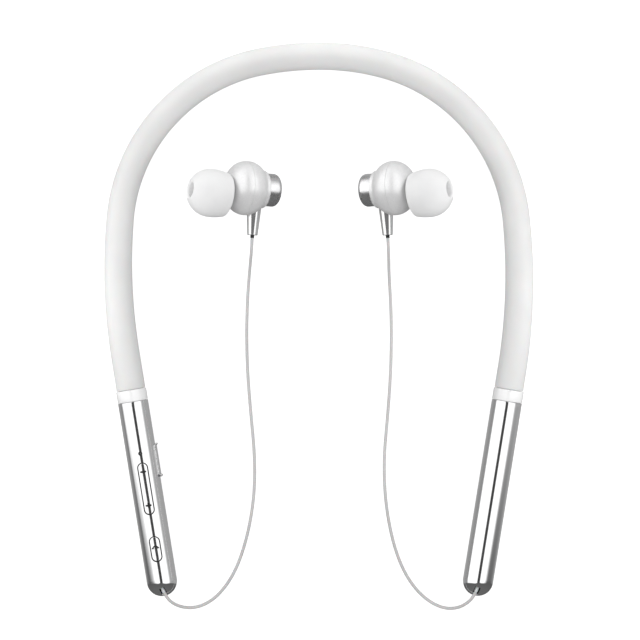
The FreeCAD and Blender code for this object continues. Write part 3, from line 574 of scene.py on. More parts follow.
# ---- camera, floor and light
CAMERA_HEIGHT = 850.0
FIELD = 198.4
VIEW_CENTRE = (0.0, -0.2)
FLOOR_HALF = 3000.0
FLOOR_BASE = 0.6
FLOOR_GLOW = 0.75


def build_camera():
    data = bpy.data.cameras.new("camera")
    camera = in_scene("camera", data)
    data.sensor_width = 36
    data.lens = 36 * (CAMERA_HEIGHT - AXIS_Z) / FIELD
    data.clip_end = 10
    camera.location = Vector((*VIEW_CENTRE, CAMERA_HEIGHT)) * MM
    bpy.context.scene.camera = camera


def stage_quad(name, corners, base, specular, glow):
    """A flat four-cornered stage piece with a light of its own."""
    mesh = bpy.data.meshes.new(name)
    mesh.from_pydata([Vector(corner) * MM for corner in corners], [], [(0, 1, 2, 3)])
    quad = in_scene(name, mesh)
    material = bpy.data.materials.new(f"{name}_paper")
    material.use_nodes = True
    sockets = material.node_tree.nodes["Principled BSDF"].inputs
    for socket, value in (
        ("Base Color", (base, base, base, 1)), ("Roughness", 0.9), ("Specular IOR Level", specular),
        ("Emission Color", (1, 1, 1, 1)), ("Emission Strength", glow),
    ):
        sockets[socket].default_value = value
    mesh.materials.append(material)
    quad.visible_diffuse = False
    return quad


def build_floor():
    half = FLOOR_HALF
    corners = [(-half, -half, 0), (half, -half, 0), (half, half, 0), (-half, half, 0)]
    floor = stage_quad("floor", corners, FLOOR_BASE, 0.1, FLOOR_GLOW)
    floor.visible_glossy = False


def area_light(name, place, aim, size, power):
    """A soft box that lights the scene but shows neither itself nor its reflection."""
    data = bpy.data.lights.new(name, "AREA")
    data.shape = "RECTANGLE"
    data.size, data.size_y = size
    data.energy = power
    light = in_scene(name, data)
    light.location = place
    light.rotation_mode = "QUATERNION"
    light.rotation_quaternion = (Vector(aim) - Vector(place)).to_track_quat("-Z", "Y")
    light.visible_glossy = False
    light.visible_camera = False


# what reflections see: levels across the sky, near its corners, to the front, and how they fade
REFLECTION_LEVEL = 1.6
TOP_POWER = 1.45
REFLECTION_ACROSS = [
    (0.02, 0.3), (0.235, 0.19), (0.265, 0.9), (0.468, 0.9), (0.477, 0.04),
    (0.523, 0.04), (0.532, 0.9), (0.66, 0.9), (0.7, 0.3), (0.98, 0.25),
]
REFLECTION_CORNERS = [
    (0.26, 0.01), (0.33, 0.015), (0.43, 0.04), (0.477, 0.0),
    (0.523, 0.0), (0.57, 0.03), (0.62, 0.03), (0.68, 0.01),
]
REFLECTION_FRONT = [(0.1, 0.095), (0.40, 0.075)]
REFLECTION_DEPTH = [(0.385, 0.0), (0.425, 1.0), (0.84, 1.0), (1.0, 0.6)]
# soft boxes beside the object, in metres: name, place, aim, size, power
SIDE_BOXES = [
    ("left_box", (-0.130, 0.005, 0.022), (-0.06, 0.005, 0.005), (0.03, 0.17), 0.046),
    ("right_box", (0.130, 0.005, 0.022), (0.06, 0.005, 0.005), (0.03, 0.17), 0.046),
    ("back_box", (0.0, 0.155, 0.022), (0.0, 0.08, 0.005), (0.14, 0.03), 0.036),
    ("left_back_box", (-0.105, 0.120, 0.022), (-0.05, 0.06, 0.005), (0.09, 0.03), 0.019),
    ("right_back_box", (0.105, 0.120, 0.022), (0.05, 0.06, 0.005), (0.09, 0.03), 0.019),
]
# what all else sees: the sky and the bounce off the floor
SKY_HORIZON = 0.22
SKY_ZENITH = 0.95
BOUNCE = 0.48


def build_world():
    """A pale plain studio; in reflections, two long soft boxes beside a slim gap."""
    world = bpy.data.worlds.new("studio")
    bpy.context.scene.world = world
    world.use_nodes = True
    tree = world.node_tree
    link = tree.links.new
    background = tree.nodes["Background"]
    coords = tree.nodes.new("ShaderNodeTexCoord").outputs["Generated"]
    split = tree.nodes.new("ShaderNodeSeparateXYZ")
    link(coords, split.inputs[0])

    def math_node(kind, *inputs):
        node = tree.nodes.new("ShaderNodeMath")
        node.operation = kind
        for socket, value in zip(node.inputs, inputs):
            if isinstance(value, (int, float)):
                socket.default_value = value
            else:
                link(value, socket)
        return node.outputs[0]

    def ramp(value, stops):
        node = tree.nodes.new("ShaderNodeValToRGB")
        elements = node.color_ramp.elements
        while len(elements) < len(stops):
            elements.new(0.5)
        for element, (position, level) in zip(elements, stops):
            element.position = position
            element.color = (level, level, level, 1)
        link(value, node.inputs["Fac"])
        return node.outputs["Color"]

    # angle from straight up, towards +X, as a share of the circle: 0.5 is up, 0.25 is -X, 0.75 is +X
    angle = math_node("ARCTAN2", split.outputs["X"], split.outputs["Z"])
    share = math_node("MULTIPLY_ADD", angle, 1 / (2 * math.pi), 0.5)
    across = ramp(share, REFLECTION_ACROSS)
    # the boxes end where the direction leans to the front (-Y), sooner near their corners
    lean = math_node("MULTIPLY_ADD", split.outputs["Y"], 0.5, 0.5)
    depth = ramp(math_node("ADD", lean, ramp(share, REFLECTION_CORNERS)), REFLECTION_DEPTH)
    front = ramp(lean, REFLECTION_FRONT)
    boxes = math_node("MULTIPLY", math_node("SUBTRACT", across, front), depth)
    boxes = math_node("ADD", boxes, front)
    boxes = math_node("MULTIPLY", boxes, REFLECTION_LEVEL)
    # what everything but a reflection meets: a plain sky, and the floor's bounce from below
    up = math_node("MULTIPLY_ADD", split.outputs["Z"], 0.5, 0.5)
    halfway = (SKY_HORIZON + SKY_ZENITH) / 2
    sky = [(0.503, SKY_HORIZON), (0.75, halfway), (1.0, SKY_ZENITH)]
    plain = ramp(up, [(0.0, BOUNCE), (0.497, BOUNCE)] + sky)
    mirror = tree.nodes.new("ShaderNodeLightPath").outputs["Is Glossy Ray"]
    mix = tree.nodes.new("ShaderNodeMix")
    mix.data_type = "RGBA"
    link(mirror, mix.inputs["Factor"])
    link(plain, mix.inputs[6])
    link(boxes, mix.inputs[7])
    link(mix.outputs[2], background.inputs["Color"])
    background.inputs["Strength"].default_value = 1.0


# how far along the stem and how wide on each side, then the height over the stem's axis
CARD_ENDS = [(4.6, 3.6), (17.0, 2.0)]
CARD_RISE = 5.0
CARD_LEVEL = 0.2


def build_card(name, sign):
    """A small grey card over the stem, seen only in reflections, for the cone's dark middle."""
    place = bud_matrix(sign) @ Matrix.Translation((STEM_X, 0, 0))
    side = Vector((math.cos(math.radians(BUD_ROLL)), sign * math.sin(math.radians(BUD_ROLL)), 0))
    (near, near_half), (far, far_half) = CARD_ENDS
    middles = [place @ Vector((0, along, 0)) + UP * CARD_RISE for along in (near, far)]
    corners = [middles[0] - side * near_half, middles[0] + side * near_half]
    corners += [middles[1] + side * far_half, middles[1] - side * far_half]
    card = stage_quad(name, corners, 0, 0, CARD_LEVEL)
    card.visible_camera = False
    card.visible_shadow = False
    card.visible_transmission = False


def build_stage():
    build_camera()
    build_floor()
    build_world()
    for name, facts in BAND_SIDES.items():
        build_card(f"{name}_stem_card", facts["sign"])
    for name, place, aim, size, power in SIDE_BOXES:
        area_light(name, place, aim, size, power)
    area_light("top_box", (0, 0, 1.1), (0, 0, 0), (0.8, 0.8), TOP_POWER)
    scene = bpy.context.scene
    scene.view_settings.view_transform = "Standard"
    scene.view_settings.look = "None"


# ---- neckband
def band_stations(name):
    """(point, direction) along one side at about 1 mm steps, from the apex to the straight's start."""
    side = BAND_SIDES[name]
    stations = []
    for centre, radius, start, end in band_arcs(side):
        steps = max(2, round(math.radians(end - start) * radius))
        for i in range(steps + 1):
            if i == 0 and stations:
                continue
            heading = start + (end - start) * i / steps
            point = on_arc(centre, radius, heading, side["sign"])
            stations.append((point, heading_vector(heading, side["sign"])))
    return stations


def sweep(name, rings, steps):
    """A tube through rings of (point, direction, radius)."""
    turns = [2 * math.pi * i / steps for i in range(steps)]
    sections = []
    for point, direction, radius in rings:
        side = UP.cross(direction).normalized()
        sections.append([point + side * (radius * math.cos(t)) + UP * (radius * math.sin(t)) for t in turns])
    return skinned(name, sections)


def band_half(name):
    side = BAND_SIDES[name]
    stations = band_stations(name)
    lead = len(stations) - 1 - round(math.radians(side["arcs"][-1][1]) * side["arcs"][-1][0])
    rings = []
    for i, (point, direction) in enumerate(stations):
        share = max(0.0, (i - lead) / (len(stations) - 1 - lead))
        rings.append((point, direction, BAND_R_BACK + (BAND_R_FRONT - BAND_R_BACK) * share))
    edge, direction = collar_edge(side)
    end = edge - direction * BAND_GAP
    steps = round(side["straight"]) - 1
    start = edge - direction * side["straight"]
    for i in range(1, steps + 1):
        rings.append((start + direction * (i * (side["straight"] - 1) / steps), direction, BAND_R_FRONT))
    round_r = 0.3
    for i in range(1, 7):
        turn = math.radians(15 * i)
        back = round_r * (1 - math.sin(turn))
        rings.append((end - direction * back, direction, BAND_R_FRONT - round_r * (1 - math.cos(turn))))
    rings.append((end, direction, SPIGOT_R))
    rings.append((edge + direction * SPIGOT_LENGTH, direction, SPIGOT_R))
    blend_half(sweep(f"{name}_neckband_skin", rings, 96), "white_silicone", "silicone_band")


def core_half(name, kind, radius, lift, reach, material):
    """Half of the wire or the harness that runs inside the band."""
    side = BAND_SIDES[name]
    raise_by = UP * lift
    rings = [(point + raise_by, direction, radius) for point, direction in band_stations(name)]
    edge, direction = collar_edge(side)
    rings.append((edge + direction * reach + raise_by, direction, radius))
    blend_half(sweep(f"{name}_{kind}", rings, 16), material, kind)


def blend_half(piece, material, node):
    """A half of a band piece, between the fixed back and the arm that flexes: its material, its place baked
    in, its node hidden.
    """
    piece.data.materials.append(MATERIALS[material])
    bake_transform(piece)
    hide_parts(node)


def build_band():
    for name in BAND_SIDES:
        band_half(name)
        core_half(name, "memory_wire", WIRE_R, WIRE_DROP, WIRE_REACH, "spring_steel")
        core_half(name, "harness_cable", HARNESS_R, HARNESS_LIFT, HARNESS_REACH, "harness_grey")


# ---- barrels
def barrel_outline():
    """The wall's section, from the open end round the dome and back inside: (along, out)."""
    edge = 0.12
    outline = [(BARREL_START, INNER_R), (BARREL_START, BARREL_R - edge)]
    outline += bow((BARREL_START + edge, BARREL_R - edge), edge, 180, 90, 4)[1:]
    steps = 60
    first = BARREL_START + edge
    outline += [(first + (DOME_S - first) * i / steps, BARREL_R) for i in range(1, steps)]
    outline += bow((DOME_S, 0), BARREL_R, 90, 0, 32)[:-1] + [(DOME_S + BARREL_R, 0)]
    outline += [(DOME_S + INNER_R, 0)] + bow((DOME_S, 0), INNER_R, 0, 90, 16)[1:]
    outline += [(DOME_S - (DOME_S - BARREL_START) * i / 8, INNER_R) for i in range(1, 8)]
    return outline


def prism(outline, place):
    """A cutter through the barrel's top, from an outline of (across, along) points."""
    return skinned("cutter", [[(x, level, z) for x, z in outline] for level in (CUT_LOW, CUT_HIGH)], place)


def stadium(length, width, along, across=0.0, steps=16):
    """Outline of a slot with round ends, long along the arm: (across, along) points."""
    reach = (length - width) / 2
    half = width / 2
    top = [(across + x, along + reach + z) for z, x in bow((0, 0), half, -90, 90, steps)]
    bottom = [(across + x, along - reach + z) for z, x in bow((0, 0), half, 90, 270, steps)]
    return top + bottom


def rod(radius, start, end, place):
    """A plain round cutter between two points of a frame."""
    local, reach = line_matrix(start, end)
    outline = [(0, 0), (0, radius), (reach, radius), (reach, 0)]
    return fix_normals(lathe("cutter", outline, place @ local, 32, closed=False))


def port_section(out, size, corner, inset=0.0, steps=6):
    """A box with round corners over the port, shrunk by inset: arm-frame points, one distance out."""
    points = []
    for along, up, start in ((1, 1, 0), (-1, 1, 90), (-1, -1, 180), (1, -1, 270)):
        centre = (along * (size[0] / 2 - corner), up * (size[1] / 2 - corner))
        round_part = bow(centre, corner - inset, start, start + 90, steps)
        points += [(out, PORT_UP + v, PORT_S + u) for u, v in round_part]
    return points


def port_cutter(place):
    """The charging port's opening in the inner side of the barrel."""
    sections = [port_section(out, PORT_CUTOUT, PORT_CUTOUT_ROUND) for out in (CUT_LOW, CUT_HIGH)]
    return skinned("cutter", sections, place)


def slot_cutter(name):
    """The open slot in the dome that the cord's sleeve leaves through."""
    start = Vector(CORD_ROUTES[name][0])
    ahead = (Vector(CORD_ROUTES[name][1]) - start).normalized()
    flat = Vector((ahead.x, ahead.y, 0)).normalized()
    side = Vector((-flat.y, flat.x, 0)) * SLOT_R
    section = [side * -1 + UP * SLOT_TOP]
    section += [side * x + UP * (SLOT_R * z) for x, z in bow((0, 0), 1, 180, 360, 16)]
    section += [side + UP * SLOT_TOP]
    ends = (start - ahead * SLOT_BACK, start + ahead * 3)
    return skinned("cutter", [[end + p for p in section] for end in ends])


def build_barrels():
    for name in BAND_SIDES:
        place = arm_matrix(name)
        upper = [slot_cutter(name)]
        lower = [slot_cutter(name)]
        if name == "left":
            for _, (length, width), along, _, _ in KEYS:
                upper.append(prism(stadium(length + 2 * KEY_GAP, width + 2 * KEY_GAP, along), place))
            upper.append(rod(LED_HOLE_R, (0, CUT_LOW, LED_S), (0, CUT_HIGH, LED_S), place))
            upper.append(port_cutter(place))
            lower.append(port_cutter(place))
            lower.append(rod(MIC_HOLE_R, (0, -CUT_LOW, MIC_S), (0, -CUT_HIGH, MIC_S), place))
        for layer, node, turn, cutters in (("upper", "front", 0, upper), ("lower", "back", 180, lower)):
            arc = (turn - 90 + SHELL_GAP, turn + 90 - SHELL_GAP)
            shell = lathe(f"{name}_barrel_{layer}", barrel_outline(), turned_axis(place), 128, arc)
            dress(cut(shell, cutters), "polished_shell", f"{name}_arm", [f"{name}_barrel_{node}"])


def build_collars():
    edge = 0.25
    front_edge = 0.12
    depth, socket_r = COLLAR_SOCKET
    for name in BAND_SIDES:
        outline = [(depth, COLLAR_WIRE_HOLE_R), (depth, socket_r), (0.0, socket_r), (0.0, BARREL_R - edge)]
        outline += bow((edge, BARREL_R - edge), edge, 180, 90, 5)[1:]
        outline += bow((COLLAR_LENGTH - front_edge, BARREL_R - front_edge), front_edge, 90, 0, 4)
        outline += [(COLLAR_LENGTH, COLLAR_SPIGOT_R), (COLLAR_SPIGOT_END, COLLAR_SPIGOT_R)]
        outline += [(COLLAR_SPIGOT_END, COLLAR_SPIGOT_BORE_R), (COLLAR_LENGTH, COLLAR_SPIGOT_BORE_R)]
        outline += [(COLLAR_LENGTH, COLLAR_WIRE_HOLE_R)]
        piece = lathe(f"{name}_collar_ring", outline, turned_axis(arm_matrix(name)), 128)
        pip_place = arm_matrix(name) @ Matrix.Translation((0, BARREL_R, 0.2))
        pip = lathe("cutter", bow((0, 0), COLLAR_PIP_R, 0, 180, 12), pip_place, 24, closed=False)
        cut(piece, [pip])
        dress(piece, "collar_white", f"{name}_arm", [f"{name}_collar"])


# ---- keys, signs, port and light
def on_barrel(across, drop=0.0):
    """Height in the arm frame of the barrel's round surface, lowered by drop."""
    return math.sqrt(max(0.0, BARREL_R ** 2 - across ** 2)) - drop


def key_section(size, grow, along, drop):
    """A key's outline, grown all round, on the barrel's surface lowered by drop."""
    outline = stadium(size[0] + 2 * grow, size[1] + 2 * grow, along, steps=24)
    return [(x, on_barrel(x, drop), z) for x, z in outline]


def key_top(name, size, along, place):
    """A key cap: a slot-shaped pad, flush with the round barrel, with a softly rounded edge."""
    half = (size[1] - KEY_TRIM) / 2
    profile = [(0.0, KEY_DEPTH)]
    for i in range(7):
        turn = math.radians(15 * i)
        profile.append((KEY_ROUND * (1 - math.cos(turn)), KEY_ROUND * (1 - math.sin(turn))))
    profile += [(KEY_ROUND + (half - 0.02 - KEY_ROUND) * i / 6, 0.0) for i in range(1, 7)]
    sections = [key_section(size, -KEY_TRIM / 2 - inset, along, drop) for inset, drop in profile]
    return skinned(name, sections, place)


def stroke(points, half_width, low, high, place, name="cutter"):
    """A rounded line of a sign, as a thin solid that follows the barrel's surface."""
    sections = []
    for i, (x, z) in enumerate(points):
        before = Vector(points[max(0, i - 1)])
        after = Vector(points[min(len(points) - 1, i + 1)])
        along = (after - before).normalized()
        side = Vector((-along.y, along.x)) * half_width[i]
        edges = [(x + side.x, z + side.y), (x - side.x, z - side.y)]
        section = [(u, on_barrel(u, low), v) for u, v in edges]
        sections.append(section + [(u, on_barrel(u, high), v) for u, v in reversed(edges)])
    return skinned(name, sections, place)


def bar(start, end, steps=10):
    """Points and half widths of a straight stroke with round ends."""
    start, end = Vector(start), Vector(end)
    half = SIGN_LINE_HALF
    points, widths = [], []
    for i in range(steps + 1):
        share = i / steps
        tip = min(share, 1 - share) * (end - start).length
        widths.append(half * math.sqrt(max(0.02, 1 - max(0.0, 1 - tip / half) ** 2)))
        points.append(start.lerp(end, share))
    return points, widths


def handset_strokes():
    """A plain telephone handset: a bowed grip with a round cup at each end."""
    grip = bow((0, HANDSET_S), HANDSET_R, 180, 360, 24)
    widths = []
    for i in range(25):
        share = abs(i - 12) / 12
        widths.append(0.2 + 0.2 * max(0.0, (share - 0.7) / 0.3) ** 0.5)
    return [(grip, widths)]


SIGNS = {
    "minus": [bar((-SIGN_HALF, MINUS_S), (SIGN_HALF, MINUS_S))],
    "plus": [
        bar((-SIGN_HALF, PLUS_S), (SIGN_HALF, PLUS_S)),
        bar((0, PLUS_S - SIGN_HALF), (0, PLUS_S + SIGN_HALF)),
    ],
    "handset": handset_strokes(),
}


def engrave(cap, signs, key, place):
    """Cut each sign's grooves into a key and fill their floors with dark paint."""
    for sign in signs:
        for number, (points, widths) in enumerate(SIGNS[sign], 1):
            cut(cap, [stroke(points, widths, SIGN_DEPTH, -0.3, place)], 30)
            wider = [width + 0.02 for width in widths]
            fill = stroke(points, wider, SIGN_DEPTH + 0.06, 0.03, place, f"{key}_{sign}_paint_{number}")
            dress(fill, "sign_grey", key)


def build_key_gap_shade(name, size, along, place):
    """A black ring at the foot of the gap round a key: painted shade for the shadow deep in the gap."""
    profile = [(0.06, 1.0), (0.06, 0.22), (KEY_GAP, 0.2), (KEY_GAP, 1.0)]
    sections = [key_section(size, grow, along, drop) for grow, drop in profile]
    dress(skinned(name, sections, place, looped=True), "foam_black", "left_arm")


KEYS = [
    ("volume_key", ROCKER_SIZE, ROCKER_S, ["minus", "plus"], "volume_rocker"),
    ("call_key", CALL_SIZE, CALL_S, ["handset"], "call_button"),
]


def build_keys():
    place = arm_matrix("left")
    for key, size, along, _, _ in KEYS:
        # black rings at the foot of the key gaps: painted shade
        build_key_gap_shade(f"{key}_gap_shade", size, along, place)
    for key, size, along, signs, node in KEYS:
        cap = key_top(f"{key}_cap", size, along, place)
        engrave(cap, signs, key, place)
        dress(cap, "polished_shell", key, [node])


def build_light_window():
    """The small dark ring round the indicator's clear window."""
    up = columns_matrix(Vector((0, 1, 0)), Vector((1, 0, 0)), -UP, Vector((0, 0, LED_S)))
    section = [(0.9, 0.4), (0.14, 0.4), (0.13, 0.22), (0.05, 0.25), (0.03, 0.58), (0.08, 0.64), (0.9, 0.64)]
    ring = [(BARREL_R - drop, out) for drop, out in section]
    piece = lathe("indicator_ring", ring, arm_matrix("left") @ up, 48)
    dress(piece, "black_plastic", "left_arm")


def cover_section(along, steps=24):
    """One slice of the cover's plate: under side out, upper side back, fading to a round edge."""
    reach, half = (extent / 2 - COVER_CORNER for extent in COVER_SIZE)
    under, over = [], []
    for i in range(steps + 1):
        u, v = along, COVER_SIZE[1] * (i / steps - 0.5)
        dx, dy = max(0.0, abs(u) - reach), max(0.0, abs(v) - half)
        away = math.hypot(dx, dy)
        if dx and dy and away > COVER_CORNER:
            u = math.copysign(reach + dx * COVER_CORNER / away, u)
            v = math.copysign(half + dy * COVER_CORNER / away, v)
            away = COVER_CORNER
        share = min(1.0, max(0.0, (COVER_CORNER - away) / COVER_EDGE))
        rise = COVER_THICK * (0.35 + 0.65 * math.sqrt(1 - (1 - share) ** 2))
        turn = v / BARREL_R
        for side, out in ((under, COVER_IN), (over, COVER_IN + rise)):
            side.append((out * math.cos(turn), PORT_UP + out * math.sin(turn), PORT_S + u))
    return under + over[::-1]


def build_port_cover():
    """Soft cover over the charging port, bent round the barrel, with a finger lip."""
    place = arm_matrix("left")
    length = COVER_SIZE[0]
    sections = [cover_section(length * (i / 40 - 0.5)) for i in range(41)]
    plate = skinned("port_cover_plate", sections, place, 50, zipped=True)
    dress(plate, "cover_metal", "port_flap", ["charging_port_cover"])
    # the finger lip at the collar's end, and the round hinge at the other
    lip_r, lip_half = COVER_LIP
    hinge_r, hinge_half = COVER_HINGE
    for name, radius, half, out, along in (
        ("port_cover_lip", lip_r, lip_half, COVER_THICK + 0.02, 0.1 - length / 2),
        ("port_cover_hinge", hinge_r, hinge_half, hinge_r, length / 2 - hinge_r),
    ):
        ends = [(COVER_IN + out, PORT_UP + up, PORT_S + along) for up in (-half, half)]
        dress(capsule_bar(name, *ends, radius, place), "cover_metal", "port_flap")
    # the soft plug that fills the socket's mouth
    levels = [(4.4, 0.15), (4.55, 0.0), (COVER_IN + 0.1, 0.0)]
    plug = [port_section(out, PLUG_SIZE, PLUG_ROUND, inset, 5) for out, inset in levels]
    dress(skinned("port_cover_plug", plug, place), "white_silicone", "port_flap")


def capsule_bar(name, start, end, radius, place):
    """A short round bar with rounded ends between two points of a frame."""
    local, reach = line_matrix(start, end)
    soft = radius * 0.95
    outline = [(0, 0)] + bow((soft, radius - soft), soft, 180, 90, 8)
    outline += bow((reach - soft, radius - soft), soft, 90, 0, 8) + [(reach, 0)]
    return lathe(name, outline, place @ local, 24, closed=False)


# ---- earbuds
def ball_outline(shrink, start_x, end_x):
    """Section of the flattened ball between two planes: (along, out)."""
    steps = 48
    waist = BALL_WAIST_R - shrink
    ring = BALL_R - BALL_WAIST_R
    points = []
    for i in range(steps + 1):
        share = 0.5 - 0.5 * math.cos(math.pi * i / steps)
        x = start_x + (end_x - start_x) * share
        semi_x, dome_r = BALL_FRONT if x > 0 else BALL_BACK
        offset = dome_r - semi_x
        limit = waist * math.cos(math.atan2(ring, offset))
        if abs(x) <= limit:
            out = ring + math.sqrt(max(0.0, waist ** 2 - x ** 2))
        else:
            out = math.sqrt(max(0.0, (dome_r - shrink) ** 2 - (abs(x) + offset) ** 2))
        points.append((x, out))
    return points


def along_stem(place):
    """The bud frame turned so that X runs down the stem's own axis."""
    return place @ columns_matrix(Vector((0, 1, 0)), Vector((-1, 0, 0)), UP, Vector((STEM_X, 0, 0)))


def stem_radius(along):
    return STEM_TOP_R - (STEM_TOP_R - STEM_END_R) * (along - STEM_START) / (STEM_END - STEM_START)


def build_ball_front(name, sign, body, place):
    """Front shell of the ball, with its bored nozzle."""
    start = SEAM_X + SEAM_HALF
    outer = ball_outline(0, start + SEAM_EDGE, BALL_FRONT[0])
    inner = ball_outline(BALL_WALL, BALL_FRONT[0] - BALL_WALL, start)
    front = lathe(f"{name}_ball_front", [(start, outer[0][1] - SEAM_EDGE)] + outer + inner, place, 192)
    cut(front, [rod(NOZZLE_BORE_R, (-9, 0, 0), (3, 0, 0), nozzle_matrix(sign))])
    dress(front, "bud_white", body, [f"{name}_bud_front_shell"])
    nozzle = [(-6.0, NOZZLE_BORE_R), (-6.0, NOZZLE_R), (-1.6, NOZZLE_R), (-1.55, NOZZLE_NECK_R)]
    nozzle += [(-0.65, NOZZLE_NECK_R), (-0.6, NOZZLE_R), (1.15, NOZZLE_R), (1.3, 2.2), (1.3, NOZZLE_BORE_R)]
    dress(lathe(f"{name}_nozzle", nozzle, nozzle_matrix(sign), 64), "bud_white", body)


def build_ball_back(name, body, place):
    """Back shell of the ball, with the lip round the cap and the hole for the stem."""
    end = SEAM_X - SEAM_HALF
    outer = [p for p in ball_outline(0, -5.6, end - SEAM_EDGE) if p[1] > LIP_R + 0.12]
    inner = ball_outline(BALL_WALL, end, -3.9)
    bore = CAP_R + CAP_FIT
    outline = [(LIP_BACK, bore + 0.1)]
    outline += bow((LIP_BACK + LIP_ROUND, LIP_R - LIP_ROUND), LIP_ROUND, 180, 90, 6)
    outline += [(outer[0][0] - 0.12, LIP_R)] + outer
    outline += [(end, outer[-1][1] - SEAM_EDGE)] + inner + [(CAP_FRONT, bore), (LIP_BACK + 0.1, bore)]
    back = lathe(f"{name}_ball_back", outline, place, 192)
    cone = [(s, stem_radius(s) + STEM_FIT) for s in (STEM_START - STEM_FIT, STEM_HOLE_END)]
    cone = [(cone[0][0], 0)] + cone + [(STEM_HOLE_END, 0)]
    hole = lathe("cutter", cone, along_stem(place), 64, closed=False)
    cut(back, [fix_normals(hole)])
    dress(back, "bud_white", body, [f"{name}_bud_back_shell"])


def build_cap(name, place, body):
    """Polished cup with a rolled edge and a slightly dished face."""
    flat = CAP_R - CAP_ROUND
    wall = 0.6
    outline = [(CAP_BACK + 0.06, 0), (CAP_BACK + 0.06, flat - 0.5), (CAP_BACK + 0.03, flat - 0.25)]
    outline += bow((CAP_BACK + CAP_ROUND, flat), CAP_ROUND, 180, 90, 16)
    side = CAP_BACK + CAP_ROUND
    outline += [(side + (CAP_FRONT - side) * i / 4, CAP_R) for i in range(1, 5)]
    outline += [(CAP_FRONT, CAP_R - wall), (CAP_BACK + wall + 0.4, CAP_R - wall)]
    outline += [(CAP_BACK + wall, CAP_R - wall - 0.4), (CAP_BACK + wall, 0)]
    piece = lathe(f"{name}_cap_cup", outline, place, 160, closed=False)
    dress(piece, "cap_chrome", body, [f"{name}_bud_cap"])


def build_stem(name, place, body):
    """Slim polished cone that carries the cord into the bud."""
    bore = 0.62
    edge = 0.15
    outline = [(STEM_START, bore)]
    last = STEM_END - edge
    outline += [(s, stem_radius(s)) for s in (STEM_START + (last - STEM_START) * i / 12 for i in range(13))]
    outline += bow((last, stem_radius(last) - edge), edge, 80, 0, 4) + [(STEM_END, bore)]
    cone = lathe(f"{name}_stem_cone", outline, along_stem(place), 64)
    dress(cone, "stem_chrome", body, [f"{name}_bud_stem"])


def arc_between(widest, narrow_r, depth, steps):
    """Points of an arc that leaves its widest point square and has narrowed to a radius at a depth."""
    drop = widest - narrow_r
    radius = (depth ** 2 + drop ** 2) / (2 * drop)
    sign = -1 if depth < 0 else 1
    points = []
    for i in range(1, steps + 1):
        x = abs(depth) * i / steps
        points.append((sign * x, widest - radius + math.sqrt(radius ** 2 - x ** 2)))
    return points


def build_tip(name, sign):
    """Soft bulb-shaped tip: a core that grips the nozzle and a skirt that folds back over it."""
    depth = TIP_HOLLOW_DEPTH
    inner = TIP_R - TIP_SKIN
    half_skin = TIP_SKIN / 2
    rim = TIP_REAR + half_skin
    mouth = TIP_HOLE_R + TIP_MOUTH_BEVEL
    mouth_angle = math.degrees(math.asin(mouth / TIP_R))
    front = TIP_R * math.cos(math.radians(mouth_angle))
    outline = bow((0, 0), TIP_R, mouth_angle, 90, 44)
    outline += arc_between(TIP_R, TIP_REAR_R, rim, 12)
    outline += bow((rim, TIP_REAR_R - half_skin), half_skin, 90, 270, 14)[1:]
    outline += arc_between(inner, TIP_REAR_R - TIP_SKIN, rim, 8)[::-1][1:]
    floor = math.degrees(math.acos(depth / inner))
    outline += bow((0, 0), inner, 90, floor, 16)
    outline += bow((depth - 0.4, TIP_CORE_R + 0.4), 0.4, 0, -90, 5) + [(TIP_CORE_REAR + 0.2, TIP_CORE_R)]
    outline += bow((TIP_CORE_REAR + 0.2, TIP_CORE_R - 0.2), 0.2, 90, 180, 4) + [(TIP_CORE_REAR, TIP_BORE_R)]
    outline += [(TIP_BORE_END, TIP_BORE_R), (TIP_BORE_END, TIP_HOLE_R)]
    outline += [(front - TIP_MOUTH_BEVEL - 0.1, TIP_HOLE_R)]
    outline += bow((front - TIP_MOUTH_BEVEL - 0.1, mouth), TIP_MOUTH_BEVEL, -90, 0, 8)[1:-1]
    tip = lathe(f"{name}_soft_tip", outline, nozzle_matrix(sign), 192, sharp=60)
    dress(tip, "tip_silicone", f"{name}_tip", [f"{name}_eartip"])


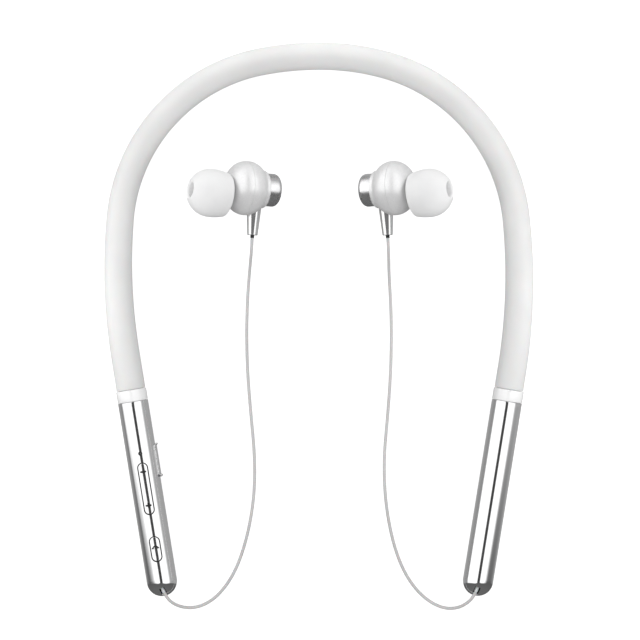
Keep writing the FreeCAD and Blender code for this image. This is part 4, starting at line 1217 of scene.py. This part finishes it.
def build_bud(name, sign):
    body = f"{name}_bud"
    place = bud_matrix(sign)
    build_ball_front(name, sign, body, place)
    build_ball_back(name, body, place)
    build_cap(name, place, body)
    build_stem(name, place, body)
    build_tip(name, sign)


def build_cord(name):
    points = [Vector(p) * MM for p in CORD_ROUTES[name]]
    data = bpy.data.curves.new(f"{name}_thin_cord", "CURVE")
    data.dimensions = "3D"
    spline = data.splines.new("NURBS")
    spline.points.add(len(points) - 1)
    for target, point in zip(spline.points, points):
        target.co = (*point, 1)
    spline.order_u = 3
    spline.use_endpoint_u = True
    spline.resolution_u = 8
    data.bevel_depth = CORD_R * MM
    data.bevel_resolution = 5
    data.use_fill_caps = True
    # the cord's grey base is painted shade, spread evenly for its shaded inner side
    data.materials.append(MATERIALS["cord_white"])
    cord = in_scene(f"{name}_thin_cord", data)
    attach(cord, f"{name}_arm")
    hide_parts(f"{name}_cord")


def build_sleeve(name):
    """White sleeve round the cord where it leaves the barrel."""
    start = Vector(CORD_ROUTES[name][0])
    ahead = (Vector(CORD_ROUTES[name][1]) - start).normalized()
    back = start - ahead * SLEEVE_BACK
    flange, flange_r = SLEEVE_FLANGE
    outline = [(0, CORD_R), (0, flange_r)] + bow((0.1, flange_r), 0.1, 180, 90, 3)
    outline += [(flange - 0.1, SLEEVE_RIB_R), (flange, flange_r), (flange, SLEEVE_R)]
    outline += [(flange + (SLEEVE_BACK - 0.9) * i / 10, SLEEVE_R - 0.006 * i) for i in range(1, 11)]
    outline += [(SLEEVE_BACK, CORD_R)]
    sleeve = lathe(f"{name}_cord_sleeve", outline, run_matrix(back, ahead), 48)
    dress(sleeve, "sleeve_white", f"{name}_arm", [f"{name}_strain_relief"])


def carry_over():
    """Every node that is still shown gets the finish of its own slot."""
    slots = {part["node"]: part["material_slot"] for part in frame["record"]["subparts"]}
    for node, piece in frame["nodes"].items():
        if piece.hide_render:
            continue
        piece.data.materials.clear()
        piece.data.materials.append(MATERIALS[slots[node]])


build_stage()
for side_name, side_facts in BAND_SIDES.items():
    build_cord(side_name)
    build_sleeve(side_name)
    build_bud(side_name, side_facts["sign"])
build_band()
build_barrels()
build_collars()
build_keys()
build_light_window()
build_port_cover()
carry_over()
